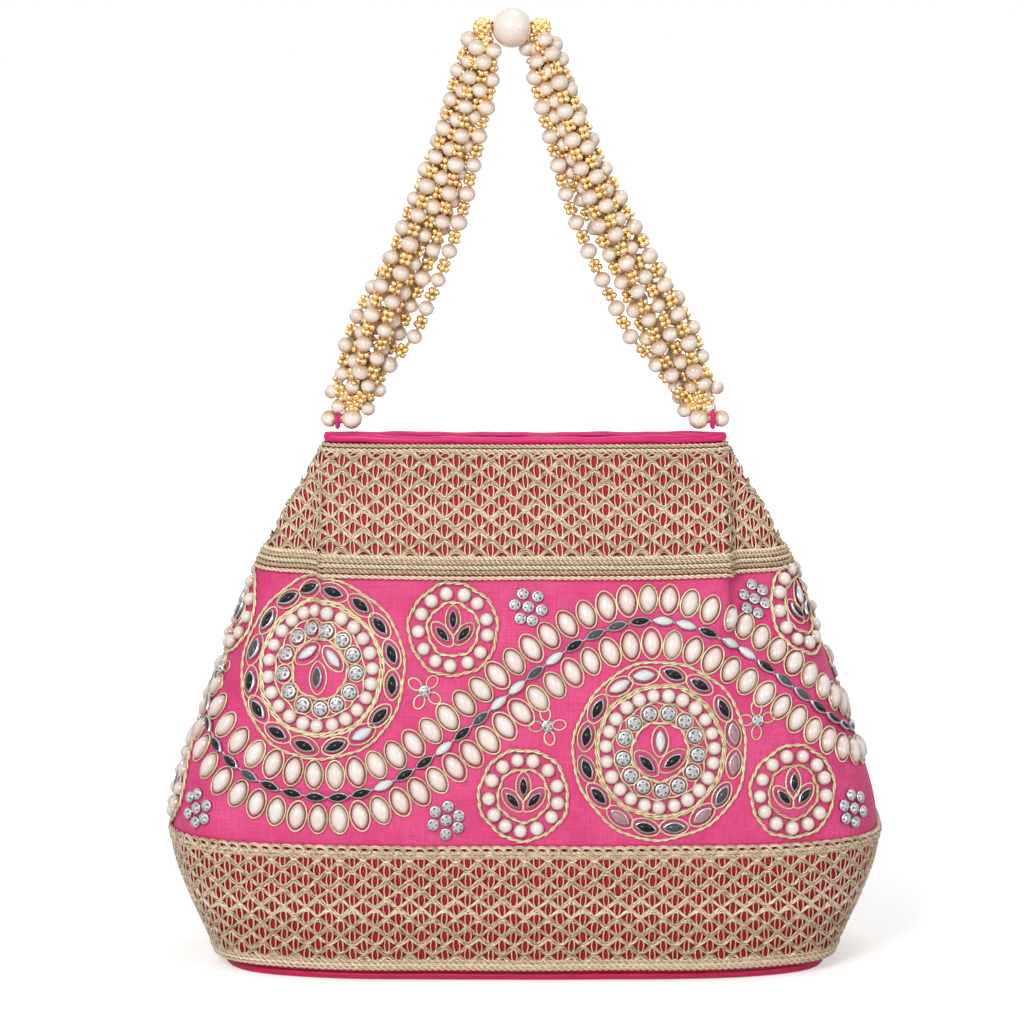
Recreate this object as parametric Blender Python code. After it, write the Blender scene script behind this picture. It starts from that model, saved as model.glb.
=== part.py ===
"""Potli bag: an embroidered silk pouch with lace bands and a swinging handle of bead strands.

The bag stands on its base, centred on the origin, with its front towards -Y. Cloth is described by
a distance s round the bag from the middle of a face, and a height z. The rear face is the front
face turned half round, as both are cut and embroidered alike.
"""

import math

import bmesh
import bpy
import numpy as np

# Outline of the silk body: height, half width and half depth at each station
BASE_HALF_WIDTH = 0.0975
BASE_HALF_DEPTH = 0.038
BELLY_HEIGHT = 0.046
BELLY_HALF_WIDTH = 0.113
BELLY_HALF_DEPTH = 0.045
WAIST_HEIGHT = 0.084
WAIST_HALF_WIDTH = 0.1015
WAIST_HALF_DEPTH = 0.038
SHOULDER_HEIGHT = 0.128
SHOULDER_HALF_WIDTH = 0.0855
SHOULDER_HALF_DEPTH = 0.0245
MOUTH_HEIGHT = 0.1675
MOUTH_HALF_WIDTH = 0.0635
MOUTH_HALF_DEPTH = 0.0056
RIM_HEIGHT = 0.171
LOWER_SQUARENESS = 3.7
UPPER_SQUARENESS = 2.7

# Pleat on each side of a face
FOLD_HALF_SPACING = 0.0645
FOLD_DEPTH = 0.006
FOLD_START_HEIGHT = 0.088
FOLD_FULL_HEIGHT = 0.126
FOLD_GUSSET_WIDTH = 0.018
FOLD_LEAST_SHARE = 0.05

# Cloth, lining and base
CLEARANCE = 0.0003
CLOTH_CLEARANCE = 0.0007
EMBROIDERY_CLEARANCE = 0.0009
FLOWER_CLEARANCE = 0.0005
PANEL_THICKNESS = 0.0014
BASE_THICKNESS = 0.0027
BASE_INSET = 0.001
BASE_ROUNDING = 0.0011
BOARD_THICKNESS = 0.0016
BOARD_INSET = 0.0018
LINING_THICKNESS = 0.0006
LINING_CLEARANCE = 0.0017
LINING_DROP = 0.0095
LINING_TOP = MOUTH_HEIGHT - LINING_DROP
BINDING_OVERLAP = 0.0009
BINDING_THICKNESS = 0.0028
SNAP_RADIUS = 0.007
SNAP_THICKNESS = 0.0018
SNAP_DROP = 0.0205

# Lace bands: the lower one reaches the belly, the upper one hangs from the mouth
LOWER_LACE_TOP = BELLY_HEIGHT
UPPER_LACE_HEIGHT = 0.0405
UPPER_LACE_BOTTOM = MOUTH_HEIGHT - UPPER_LACE_HEIGHT
LACE_THICKNESS = 0.0008
LACE_RELIEF = 0.0005
LACE_BRAID_WIDTH = 0.003
LACE_BRAID_RELIEF = 0.0009
LACE_ROWS = 2
LACE_HOLE_SHARE = 0.29
LACE_HOLE_LEAST = 0.006

# Embroidery: a wave of mirrors between two rows of pearls, medallions and stone flowers
WAVE_MIDDLE = 0.0877
WAVE_AMPLITUDE = 0.027
WAVE_HALF_PERIOD = 0.1024
WAVE_CENTRE = -0.0112
SPIRAL_RADIUS = 0.0388
SPIRAL_END_RADIUS = 0.0552
MIRROR_HALF_WIDTH = 0.0016
MIRROR_HEIGHT = 0.0010
MIRROR_PAIR_PITCH = 0.0146
PEARL_ROW_DISTANCE = 0.0067
PEARL_ROW_HALF_LENGTH = 0.0040
PEARL_ROW_HEIGHT = 0.0020
PEARL_PITCH = 0.0067
LINK_NECK_SHARE = 0.3
LARGE_MEDALLION_RADIUS = 0.0265
SMALL_MEDALLION_RADIUS = 0.0135
MEDALLION_EDGE_HEIGHT = 0.0004
MEDALLION_CORD_HEIGHT = 0.0008
MEDALLION_MIRROR_HEIGHT = 0.0012
MEDALLION_PEARL_HEIGHT = 0.0020
STONE_FLOWER_RADIUS = 0.0062
STONE_FLOWER_HEIGHT = 0.0018

# Places of ornaments: share of the belly's half width, and of the way up between the lace bands
LARGE_MEDALLIONS = {"crest": (-0.5779, 0.6605), "trough": (0.3761, 0.3580)}
SMALL_MEDALLIONS = {
    "upper": (-0.2018, 0.8173),
    "lower": (-0.0053, 0.1926),
    "corner": (0.7522, 0.1914),
}
STONE_FLOWERS = {
    "top": (0.0088, 0.9012),
    "bottom": (-0.2212, 0.0988),
    "right": (0.9425, 0.1049),
}

# Handle
AXIS_HEIGHT = 0.175
EYELET_PLACE = 0.0598
EYELET_HOLE = 0.0021
EYELET_WIDTH = 0.0016
PEG_RADIUS = 0.0016
PEG_HEAD_RADIUS = 0.0026
PEG_HEAD_LENGTH = 0.0018
KNOT_RADIUS = 0.0033
PEARL_CENTRE_X = -0.0042
PEARL_CENTRE_HEIGHT = 0.2997
PEARL_RADIUS = 0.00625
PEARL_BORE = 0.0019
CORE_RADIUS = 0.0013
CORE_KNOT_RADIUS = 0.0024
STRANDS_PER_SIDE = 4
STRAND_BEADS = 8
STRAND_PEARL_RADIUS = 0.0026
STRAND_SEED_RADIUS = 0.0011
STRAND_END_RADIUS = 0.0009
STRAND_END_SPREAD = 0.0017
STRAND_TWIST = 1.1 * math.pi
STRAND_SIDES = 4
BUNDLE_FLATNESS = 0.8
BUNDLE_END_SHARE = 0.12
SEAT_CLEARANCE = 0.00035

# Share of the way up, against the share of the way inwards and the bundle's half spread
BUNDLE_LEAN = ((0.0, 0.2, 0.5, 0.8, 1.0), (0.0, 0.21, 0.58, 0.87, 1.0))
BUNDLE_SPREAD = (
    (0.0, 0.07, 0.2, 0.45, 0.8, 0.93, 1.0),
    (STRAND_END_SPREAD, 0.0062, 0.0105, 0.0092, 0.0058, 0.0038, STRAND_END_SPREAD),
)

# Mesh resolution
TABLE_ROWS = 120
TABLE_COLUMNS = 96
FACE_CELLS = 4
GUSSET_STEPS = (0.0, 0.1, 0.3, 0.62, 1.0)
FIELD_ROWS = 4
LARGE_SEGMENTS = 12
SMALL_SEGMENTS = 10
FLOWER_SEGMENTS = 8
ROUND_SEGMENTS = 10
BASE_SEGMENTS = 5
WAVE_STEPS = 400
LINING_CELLS = 6
BINDING_CELLS = 5

SILK_PINK = (0.807, 0.067, 0.287)
SILK_MAGENTA = (0.874, 0.007, 0.209)
LINING_PINK = (0.60, 0.01, 0.10)
GOLD_THREAD = (0.479, 0.323, 0.144)
PEARL_CREAM = (0.88, 0.78, 0.68)
MIRROR_GREY = (0.55, 0.56, 0.58)
BOARD_GREY = (0.35, 0.32, 0.28)
STEEL_GREY = (0.62, 0.62, 0.64)


def smooth_curve(at, places, values):
    """Cubic through the stations whose slopes are the harmonic means of its neighbours' rises."""
    at = np.asarray(at, dtype=float)
    places = np.asarray(places, dtype=float)
    values = np.asarray(values, dtype=float)
    run = np.diff(places)
    rise = np.diff(values) / run
    agree = rise[:-1] * rise[1:] > 0
    total = np.where(agree, rise[:-1] + rise[1:], 1.0)
    slope = np.empty(len(places))
    slope[1:-1] = np.where(agree, 2 * rise[:-1] * rise[1:] / total, 0.0)
    slope[0] = rise[0]
    slope[-1] = rise[-1]
    k = np.clip(np.searchsorted(places, at, side="right") - 1, 0, len(run) - 1)
    t = (at - places[k]) / run[k]
    start = (1 + 2 * t) * (1 - t) ** 2 * values[k] + t * (1 - t) ** 2 * run[k] * slope[k]
    end = t * t * (3 - 2 * t) * values[k + 1] + t * t * (t - 1) * run[k] * slope[k + 1]
    return start + end


def smooth_step(value, low, high):
    """Rises smoothly from 0 at low to 1 at high."""
    t = np.clip((value - low) / (high - low), 0.0, 1.0)
    return t * t * (3 - 2 * t)


STATION_HEIGHTS = (0.0, BELLY_HEIGHT, WAIST_HEIGHT, SHOULDER_HEIGHT, MOUTH_HEIGHT)
STATION_WIDTHS = (
    BASE_HALF_WIDTH,
    BELLY_HALF_WIDTH,
    WAIST_HALF_WIDTH,
    SHOULDER_HALF_WIDTH,
    MOUTH_HALF_WIDTH,
)
STATION_DEPTHS = (
    BASE_HALF_DEPTH,
    BELLY_HALF_DEPTH,
    WAIST_HALF_DEPTH,
    SHOULDER_HALF_DEPTH,
    MOUTH_HALF_DEPTH,
)


def body_size(z):
    """Half width, half depth and squareness of the body's section at a height; upright in the rim."""
    z = np.minimum(z, MOUTH_HEIGHT)
    width = smooth_curve(z, STATION_HEIGHTS, STATION_WIDTHS)
    depth = smooth_curve(z, STATION_HEIGHTS, STATION_DEPTHS)
    upper = smooth_step(z, BELLY_HEIGHT, MOUTH_HEIGHT)
    return width, depth, LOWER_SQUARENESS + (UPPER_SQUARENESS - LOWER_SQUARENESS) * upper


def quarter_section(z):
    """Front right quarter of the section at z, evenly spaced: x, y, length and the fold's place."""
    width, depth, power = body_size(z)
    angle = np.linspace(0.0, math.pi / 2, 4 * TABLE_COLUMNS)
    across = np.sin(angle)
    along = np.cos(angle)
    reach = (across**power + along**power) ** (-1 / power)
    x = width * across * reach
    y = -depth * along * reach
    s = np.concatenate(([0.0], np.cumsum(np.hypot(np.diff(x), np.diff(y)))))
    length = s[-1]
    even = np.linspace(0.0, length, TABLE_COLUMNS)
    fold = np.interp(min(FOLD_HALF_SPACING, width), x, s)
    fold = min(fold, length * (1 - FOLD_LEAST_SHARE))
    return np.interp(even, s, x), np.interp(even, s, y), length, fold


def surface_tables():
    """Grids of the body with and without its pleats, over even steps of height and of s."""
    heights = np.linspace(0.0, RIM_HEIGHT, TABLE_ROWS)
    rows = [quarter_section(z) for z in heights]
    smooth = np.array([np.stack([r[0], r[1]], axis=-1) for r in rows])
    length = np.array([r[2] for r in rows])
    fold = np.array([r[3] for r in rows])
    share = np.linspace(0.0, 1.0, TABLE_COLUMNS)[None, :]
    past = np.clip((share * length[:, None] - fold[:, None]) / (length - fold)[:, None], 0.0, 1.0)
    gusset = np.clip((length - fold) / FOLD_GUSSET_WIDTH, 0.0, 1.0) ** 2
    depth = FOLD_DEPTH * smooth_step(heights, FOLD_START_HEIGHT, FOLD_FULL_HEIGHT) * gusset
    sink = depth[:, None] * np.sin(math.pi * np.sqrt(past))
    tangent = np.gradient(smooth, axis=1)
    tangent /= np.linalg.norm(tangent, axis=-1, keepdims=True)
    inward = np.stack([-tangent[..., 1], tangent[..., 0]], axis=-1)
    folded = smooth + sink[..., None] * inward
    return heights, length, fold, depth, smooth, folded


HEIGHTS, HALF_LENGTH, FOLD_PLACE, PLEAT_DEPTH, SMOOTH_GRID, FOLDED_GRID = surface_tables()


def with_normals(grid):
    """Adds heights and outward unit normals to a grid of x and y."""
    z = np.broadcast_to(HEIGHTS[:, None, None], grid.shape[:2] + (1,))
    points = np.concatenate([grid, z], axis=-1)
    normal = np.cross(np.gradient(points, axis=1), np.gradient(points, axis=0))
    normal[:, 0, 0] = 0.0
    normal[:, -1, 1] = 0.0
    normal /= np.linalg.norm(normal, axis=-1, keepdims=True)
    return np.concatenate([points, normal], axis=-1)


SMOOTH_TABLE = with_normals(SMOOTH_GRID)
FOLDED_TABLE = with_normals(FOLDED_GRID)


def half_length(z):
    """Distance round the bag from the middle of a face to the side seam, at a height."""
    return np.interp(z, HEIGHTS, HALF_LENGTH)


def fold_place(z):
    """Distance round the bag from the middle of a face to its pleat, at a height."""
    return np.interp(z, HEIGHTS, FOLD_PLACE)


def on_cloth(s, z, raised, folded=True):
    """Points raised above the cloth at s and z, read from the grid between its four neighbours."""
    s, z, raised = np.broadcast_arrays(*[np.asarray(v, dtype=float) for v in (s, z, raised)])
    table = FOLDED_TABLE if folded else SMOOTH_TABLE
    column = np.clip(np.abs(s) / half_length(z), 0.0, 1.0) * (TABLE_COLUMNS - 1)
    row = np.clip(z / RIM_HEIGHT, 0.0, 1.0) * (TABLE_ROWS - 1)
    i = np.minimum(row.astype(int), TABLE_ROWS - 2)
    j = np.minimum(column.astype(int), TABLE_COLUMNS - 2)
    u = (row - i)[..., None]
    v = (column - j)[..., None]
    near = table[i, j] * (1 - v) + table[i, j + 1] * v
    far = table[i + 1, j] * (1 - v) + table[i + 1, j + 1] * v
    found = near * (1 - u) + far * u
    normal = found[..., 3:] / np.linalg.norm(found[..., 3:], axis=-1, keepdims=True)
    points = found[..., :3] + normal * raised[..., None]
    points[..., 0] *= np.where(s < 0, -1.0, 1.0)
    return points


def turned_half_round(points):
    """The same points on the rear face."""
    return np.asarray(points) * np.array([-1.0, -1.0, 1.0])


def material(name, color, roughness, metallic):
    """A plain finish in the piece's own colour."""
    made = bpy.data.materials.new(name)
    made.use_nodes = True
    shader = made.node_tree.nodes["Principled BSDF"]
    shader.inputs["Base Color"].default_value = (*color, 1.0)
    shader.inputs["Roughness"].default_value = roughness
    shader.inputs["Metallic"].default_value = metallic
    return made


def add_piece(name, bm, finish):
    """Turns a bmesh into a named object with its own finish."""
    bmesh.ops.recalc_face_normals(bm, faces=bm.faces[:])
    mesh = bpy.data.meshes.new(name)
    bm.to_mesh(mesh)
    bm.free()
    mesh.shade_smooth()
    mesh.set_sharp_from_angle(angle=math.radians(40))
    piece = bpy.data.objects.new(name, mesh)
    bpy.context.scene.collection.objects.link(piece)
    piece.data.materials.append(material(name, *finish))
    return piece


def cloth_solid(name, places, faces, low, high, finish, turn):
    """Solid between two heights over the cloth: places are s, z and relief, faces index them."""
    places = np.asarray(places)
    s, z, relief = places.T
    bm = bmesh.new()
    outer = [bm.verts.new(turn(p)) for p in on_cloth(s, z, high + relief)]
    inner = [bm.verts.new(turn(p)) for p in on_cloth(s, z, low)]
    borders = {}
    for face in faces:
        bm.faces.new([outer[k] for k in face])
        bm.faces.new([inner[k] for k in reversed(face)])
        for a, b in zip(face, face[1:] + face[:1]):
            if borders.pop((b, a), None) is None:
                borders[(a, b)] = True
    for a, b in borders:
        bm.faces.new((outer[b], outer[a], inner[a], inner[b]))
    return add_piece(name, bm, finish)


def skin(name, rings, finish, closed=False):
    """Joins rings of points into one solid: each end is capped, or the last ring meets the first."""
    bm = bmesh.new()
    loops = [[bm.verts.new(p) for p in ring] for ring in rings]
    pairs = list(zip(loops, loops[1:]))
    if closed:
        pairs.append((loops[-1], loops[0]))
    for low, high in pairs:
        count = len(low)
        for k in range(count):
            nxt = (k + 1) % count
            bm.faces.new((low[k], low[nxt], high[nxt], high[k]))
    if not closed:
        bm.faces.new(loops[0][::-1])
        bm.faces.new(loops[-1])
    return add_piece(name, bm, finish)


def column_places(z):
    """Distances round a face of the panel's columns: even low down, gathered at the pleats above."""
    count = FACE_CELLS + len(GUSSET_STEPS) - 1
    even = np.linspace(0.0, 1.0, count + 1)
    pleat = fold_place(z) / half_length(z)
    face = np.linspace(0.0, pleat, FACE_CELLS + 1)
    gusset = pleat + (1 - pleat) * np.array(GUSSET_STEPS[1:])
    weight = smooth_step(z, BELLY_HEIGHT, FOLD_FULL_HEIGHT)
    half = (even * (1 - weight) + np.concatenate([face, gusset]) * weight) * half_length(z)
    half[-1] = half_length(z) - CLEARANCE / 2
    return np.concatenate([-half[:0:-1], half])


def band_heights(low, high):
    """Heights of a lace band's rows: its braided edges and the net between them."""
    net = np.linspace(low + LACE_BRAID_WIDTH, high - LACE_BRAID_WIDTH, LACE_ROWS + 1)
    return np.concatenate([[low], net, [high]])


def row_heights():
    """Heights of the panel's rows: those of the two lace bands, and even ones between."""
    lower = band_heights(BASE_THICKNESS + CLEARANCE, LOWER_LACE_TOP)
    field = np.linspace(LOWER_LACE_TOP, UPPER_LACE_BOTTOM, FIELD_ROWS + 1)
    upper = band_heights(UPPER_LACE_BOTTOM, MOUTH_HEIGHT)
    return np.concatenate([lower, field[1:], upper[1:]])


def panel(side, turn):
    """Silk panel over foam, one for each face, meeting at the side seams."""
    heights = row_heights()
    places = [(s, z, 0.0) for z in heights for s in column_places(z)]
    count = len(places) // len(heights)
    faces = []
    for row in range(len(heights) - 1):
        for k in range(row * count, (row + 1) * count - 1):
            faces.append((k, k + 1, k + count + 1, k + count))
    finish = (SILK_PINK, 0.55, 0.0)
    cloth_solid(f"{side}_panel", places, faces, -PANEL_THICKNESS, 0.0, finish, turn)


def lace_band(name, low, high, turn):
    """Crocheted band: a net of diamond holes between two braided edges, laid over the panel."""
    heights = band_heights(low, high)
    places = []
    for z in heights:
        relief = LACE_BRAID_RELIEF if z in (low, high) else LACE_RELIEF
        places += [(s, z, relief) for s in column_places(z)]
    count = len(places) // len(heights)
    faces = []
    for row in range(len(heights) - 1):
        for k in range(row * count, (row + 1) * count - 1):
            cell = (k, k + 1, k + count + 1, k + count)
            corners = np.array([places[c] for c in cell])
            width = corners[2, 0] - corners[3, 0]
            if row in (0, len(heights) - 2) or width < LACE_HOLE_LEAST:
                faces.append(cell)
                continue
            middle = corners.mean(axis=0)
            sides = (corners + np.roll(corners, -1, axis=0)) / 2 - middle
            first = len(places)
            places += [tuple(middle[:2] + 2 * LACE_HOLE_SHARE * side[:2]) + (0.0,) for side in sides]
            for n in range(4):
                nxt = (n + 1) % 4
                faces.append((cell[n], cell[nxt], first + n))
                faces.append((first + n, cell[nxt], first + nxt))
    base = CLOTH_CLEARANCE
    cloth_solid(name, places, faces, base, base + LACE_THICKNESS, (GOLD_THREAD, 0.45, 0.3), turn)


def lining():
    """Thin cup of lining cloth over the base board, which hangs clear of the pleats."""
    outside = -(PANEL_THICKNESS + LINING_CLEARANCE)
    floor = lining_floor()
    upper = np.linspace(FOLD_FULL_HEIGHT, LINING_TOP, 3)
    heights = np.concatenate([[floor, BELLY_HEIGHT, FOLD_START_HEIGHT], upper])

    def ring(z, raised, level):
        half = np.linspace(0.0, half_length(z), LINING_CELLS + 1)[:-1]
        places = np.concatenate([-half[:0:-1], half])
        pleat = np.interp(z, HEIGHTS, PLEAT_DEPTH)
        aside = smooth_step(np.abs(places), fold_place(z) / 2, fold_place(z))
        front = on_cloth(places, z, raised - pleat * aside, folded=False)
        front[:, 2] = level
        return np.concatenate([front, turned_half_round(front)])

    outer = [ring(z, outside, z) for z in heights]
    inside = outside - LINING_THICKNESS
    inner = [ring(z, inside, z) for z in heights]
    inner[0][:, 2] += LINING_THICKNESS
    skin("lining", outer + inner[::-1], (LINING_PINK, 0.6, 0.0))


def lining_floor():
    """Underside of the lining, just above the base board."""
    return BASE_THICKNESS + 2 * CLEARANCE + BOARD_THICKNESS + CLEARANCE


def outline_ring(z, raised, level):
    """Closed outline of the body's section at z, offset sideways, set at a level."""
    s = np.linspace(-1.0, 1.0, 2 * BASE_SEGMENTS + 1)[:-1] * half_length(z)
    front = on_cloth(s, z, raised, folded=False)
    ring = np.concatenate([front, turned_half_round(front)])
    ring[:, 2] = level
    return ring


def base_panel():
    """Silk-covered base with a rounded lower edge."""
    rings = [
        outline_ring(0.0, -BASE_INSET - BASE_ROUNDING, 0.0),
        outline_ring(0.0, -BASE_INSET, BASE_ROUNDING),
        outline_ring(0.0, -BASE_INSET, BASE_THICKNESS),
    ]
    skin("base_panel", rings, (SILK_MAGENTA, 0.55, 0.0))


def base_board():
    """Stiff board that keeps the base flat, inside the panels."""
    low = BASE_THICKNESS + 2 * CLEARANCE
    inset = -(PANEL_THICKNESS + BOARD_INSET)
    rings = [
        outline_ring(BASE_THICKNESS, inset, low),
        outline_ring(BASE_THICKNESS, inset, low + BOARD_THICKNESS),
    ]
    skin("base_board", rings, (BOARD_GREY, 0.85, 0.0))


def binding(side, turn):
    """Binding along one lip of the mouth, narrower at its top, standing on the panel's edge."""
    inner = BINDING_OVERLAP - BINDING_THICKNESS
    taper = BINDING_THICKNESS / 4
    corners = (
        (MOUTH_HEIGHT + CLEARANCE, inner),
        (MOUTH_HEIGHT + CLEARANCE, BINDING_OVERLAP),
        (RIM_HEIGHT, BINDING_OVERLAP - taper),
        (RIM_HEIGHT, inner + taper),
    )
    end = half_length(RIM_HEIGHT) - CLEARANCE / 2
    rings = []
    for s in np.linspace(-end, end, 2 * BINDING_CELLS + 1):
        ring = [on_cloth(s, RIM_HEIGHT, raised, folded=False) for _, raised in corners]
        for point, (level, _) in zip(ring, corners):
            point[2] = level
        rings.append(turn(ring))
    skin(f"binding_{side}", rings, (SILK_MAGENTA, 0.5, 0.0))


def snap_half(side, turn):
    """Half of the magnetic snap: a disc on the lining, inside the mouth."""
    back = -(PANEL_THICKNESS + LINING_CLEARANCE + LINING_THICKNESS + CLOTH_CLEARANCE)
    height = MOUTH_HEIGHT - SNAP_DROP
    centre = on_cloth(0.0, height, back)
    normal = on_cloth(0.0, height, 1.0 + back) - centre
    across = np.array([1.0, 0.0, 0.0])
    upward = np.cross(across, normal)
    angle = np.linspace(0.0, 2 * math.pi, ROUND_SEGMENTS, endpoint=False)[:, None]
    rim = SNAP_RADIUS * (np.cos(angle) * across + np.sin(angle) * upward)
    rings = [turn(centre + rim), turn(centre + rim - SNAP_THICKNESS * normal)]
    skin(f"snap_{side}", rings, (STEEL_GREY, 0.3, 1.0))


def mound(name, centre, rings, segments, finish, turn, seat=EMBROIDERY_CLEARANCE):
    """Round ornament on the cloth: rings of radius and height from its underside to its middle."""
    angle = np.linspace(0.0, 2 * math.pi, segments, endpoint=False)
    bm = bmesh.new()

    def pole(height):
        return bm.verts.new(turn(on_cloth(centre[0], centre[1], height, folded=False)))

    under = pole(seat)
    loops = []
    for radius, low, high in rings:
        height = np.where(np.arange(segments) % 2 == 0, high, low) + seat
        s = centre[0] + radius * np.cos(angle)
        z = centre[1] + radius * np.sin(angle)
        loops.append([bm.verts.new(turn(p)) for p in on_cloth(s, z, height, folded=False)])
    top = pole(seat + rings[-1][2])
    for k in range(segments):
        nxt = (k + 1) % segments
        bm.faces.new((under, loops[0][nxt], loops[0][k]))
        for low, high in zip(loops, loops[1:]):
            bm.faces.new((low[k], low[nxt], high[nxt], high[k]))
        bm.faces.new((loops[-1][k], loops[-1][nxt], top))
    add_piece(name, bm, finish)


def large_medallion(name, centre, turn):
    """Rings of mirrors, pearls and stones between couched cords, round three mirrors."""
    outer = LARGE_MEDALLION_RADIUS
    rings = (
        (0.5 * outer, 0.0, 0.0),
        (outer, 0.0, 0.0),
        (0.89 * outer, MEDALLION_EDGE_HEIGHT, MEDALLION_MIRROR_HEIGHT),
        (0.75 * outer, MEDALLION_CORD_HEIGHT, MEDALLION_CORD_HEIGHT),
        (0.64 * outer, MEDALLION_MIRROR_HEIGHT, MEDALLION_PEARL_HEIGHT),
        (0.53 * outer, MEDALLION_EDGE_HEIGHT, MEDALLION_EDGE_HEIGHT),
        (0.44 * outer, MEDALLION_CORD_HEIGHT, MEDALLION_MIRROR_HEIGHT),
        (0.32 * outer, MEDALLION_CORD_HEIGHT, MEDALLION_CORD_HEIGHT),
    )
    mound(name, centre, rings, LARGE_SEGMENTS, (GOLD_THREAD, 0.4, 0.2), turn)


def small_medallion(name, centre, turn):
    """A ring of pearls between two couched cords, round three mirrors."""
    outer = SMALL_MEDALLION_RADIUS
    rings = (
        (0.5 * outer, 0.0, 0.0),
        (outer, 0.0, 0.0),
        (0.80 * outer, MEDALLION_CORD_HEIGHT, MEDALLION_PEARL_HEIGHT),
        (0.54 * outer, MEDALLION_CORD_HEIGHT, MEDALLION_CORD_HEIGHT),
    )
    mound(name, centre, rings, SMALL_SEGMENTS, (PEARL_CREAM, 0.3, 0.0), turn)


def stone_flower(name, centre, turn):
    """Six cut stones round a seventh."""
    outer = STONE_FLOWER_RADIUS
    rings = (
        (outer, 0.0, 0.0),
        (0.65 * outer, MEDALLION_EDGE_HEIGHT, STONE_FLOWER_HEIGHT),
        (0.35 * outer, STONE_FLOWER_HEIGHT, STONE_FLOWER_HEIGHT),
    )
    finish = (MIRROR_GREY, 0.1, 0.6)
    mound(name, centre, rings, FLOWER_SEGMENTS, finish, turn, seat=FLOWER_CLEARANCE)


def ornament_place(shares):
    """Distance round the bag and height of an ornament, from its two shares."""
    across, up = shares
    return across * BELLY_HALF_WIDTH, LOWER_LACE_TOP + up * (UPPER_LACE_BOTTOM - LOWER_LACE_TOP)


def wave_line(aside):
    """Line along the wave moved aside: a spiral up the left side, then a sine across the bag."""
    level = WAVE_MIDDLE - WAVE_AMPLITUDE / 2
    s = np.linspace(-half_length(level), half_length(level), 2 * WAVE_STEPS)
    x = on_cloth(s, level, 0.0, folded=False)[:, 0]
    trough = np.interp(WAVE_CENTRE - WAVE_HALF_PERIOD / 2, x, s)
    right = s[s > trough]
    phase = math.pi * (np.interp(right, s, x) - WAVE_CENTRE) / WAVE_HALF_PERIOD
    sine = np.stack([right, WAVE_MIDDLE + WAVE_AMPLITUDE * np.sin(phase)], axis=-1)
    turn = np.linspace(math.pi / 2, 0.0, WAVE_STEPS, endpoint=False)
    radius = SPIRAL_RADIUS + (SPIRAL_END_RADIUS - SPIRAL_RADIUS) * (2 * turn / math.pi) ** 2
    middle = WAVE_MIDDLE - WAVE_AMPLITUDE + SPIRAL_RADIUS
    spiral = np.stack([trough - radius * np.sin(turn), middle - radius * np.cos(turn)], axis=-1)
    line = np.concatenate([spiral, sine])
    ahead = np.gradient(line, axis=0)
    ahead /= np.linalg.norm(ahead, axis=-1, keepdims=True)
    across = np.stack([-ahead[:, 1], ahead[:, 0]], axis=-1)
    return line + aside * across, across


def wave_links(aside, pitch, margin):
    """Ends and middles of the links that fill the wave between the side seams, less a margin."""
    line, across = wave_line(aside)
    kept = np.abs(line[:, 0]) < half_length(line[:, 1]) - margin
    line = line[kept]
    across = across[kept]
    length = np.concatenate([[0.0], np.cumsum(np.linalg.norm(np.diff(line, axis=0), axis=1))])
    at = np.linspace(0.0, length[-1], 2 * int(length[-1] / pitch) + 1)
    places = np.stack([np.interp(at, length, line[:, k]) for k in (0, 1)], axis=-1)
    return places, np.stack([np.interp(at, length, across[:, k]) for k in (0, 1)], axis=-1)


def wave_ribbon(name, pitch, aside, wide, height, finish, turn):
    """Row of raised links along the wave, each widest and highest at its middle, joined by low necks."""
    centre, across = wave_links(aside, pitch, wide + CLEARANCE)
    rings = []
    for k in range(len(centre)):
        half = wide if k % 2 else wide * LINK_NECK_SHARE
        rise = height if k % 2 else CLEARANCE
        shape = ((-half, 0.0), (half, 0.0), (0.0, rise))
        places = np.array([centre[k] + share * across[k] for share, _ in shape])
        raised = EMBROIDERY_CLEARANCE + np.array([step for _, step in shape])
        rings.append(turn(on_cloth(places[:, 0], places[:, 1], raised, folded=False)))
    skin(name, rings, finish)


def embroidery(side, turn):
    """All the ornaments of one face."""
    mirror = (MIRROR_GREY, 0.1, 0.8)
    pearl = (PEARL_CREAM, 0.3, 0.0)
    half = MIRROR_HALF_WIDTH
    name = f"mirror_chain_{side}"
    wave_ribbon(name, MIRROR_PAIR_PITCH, 0.0, half, MIRROR_HEIGHT, mirror, turn)
    for row, direction in (("upper", 1), ("lower", -1)):
        name = f"pearl_row_{row}_{side}"
        aside = direction * PEARL_ROW_DISTANCE
        half = PEARL_ROW_HALF_LENGTH
        wave_ribbon(name, PEARL_PITCH, aside, half, PEARL_ROW_HEIGHT, pearl, turn)
    for place, shares in LARGE_MEDALLIONS.items():
        large_medallion(f"large_medallion_{place}_{side}", ornament_place(shares), turn)
    for place, shares in SMALL_MEDALLIONS.items():
        small_medallion(f"small_medallion_{place}_{side}", ornament_place(shares), turn)
    for place, shares in STONE_FLOWERS.items():
        stone_flower(f"stone_flower_{place}_{side}", ornament_place(shares), turn)


def turned_about_x(name, centre, profile, finish, closed=False):
    """Solid of revolution about a line along X: profile steps along it with a radius at each."""
    angle = np.linspace(0.0, 2 * math.pi, ROUND_SEGMENTS, endpoint=False)
    circle = np.stack([np.zeros_like(angle), np.cos(angle), np.sin(angle)], axis=-1)
    rings = [np.array(centre) + circle * radius + (along, 0.0, 0.0) for along, radius in profile]
    return skin(name, rings, finish, closed)


def ball_steps(centre, radius, start, end, count):
    """Profile of a ball between two angles, in degrees from its -X end."""
    angle = np.radians(np.linspace(start, end, count))
    return [(centre - radius * math.cos(a), radius * math.sin(a)) for a in angle]


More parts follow.
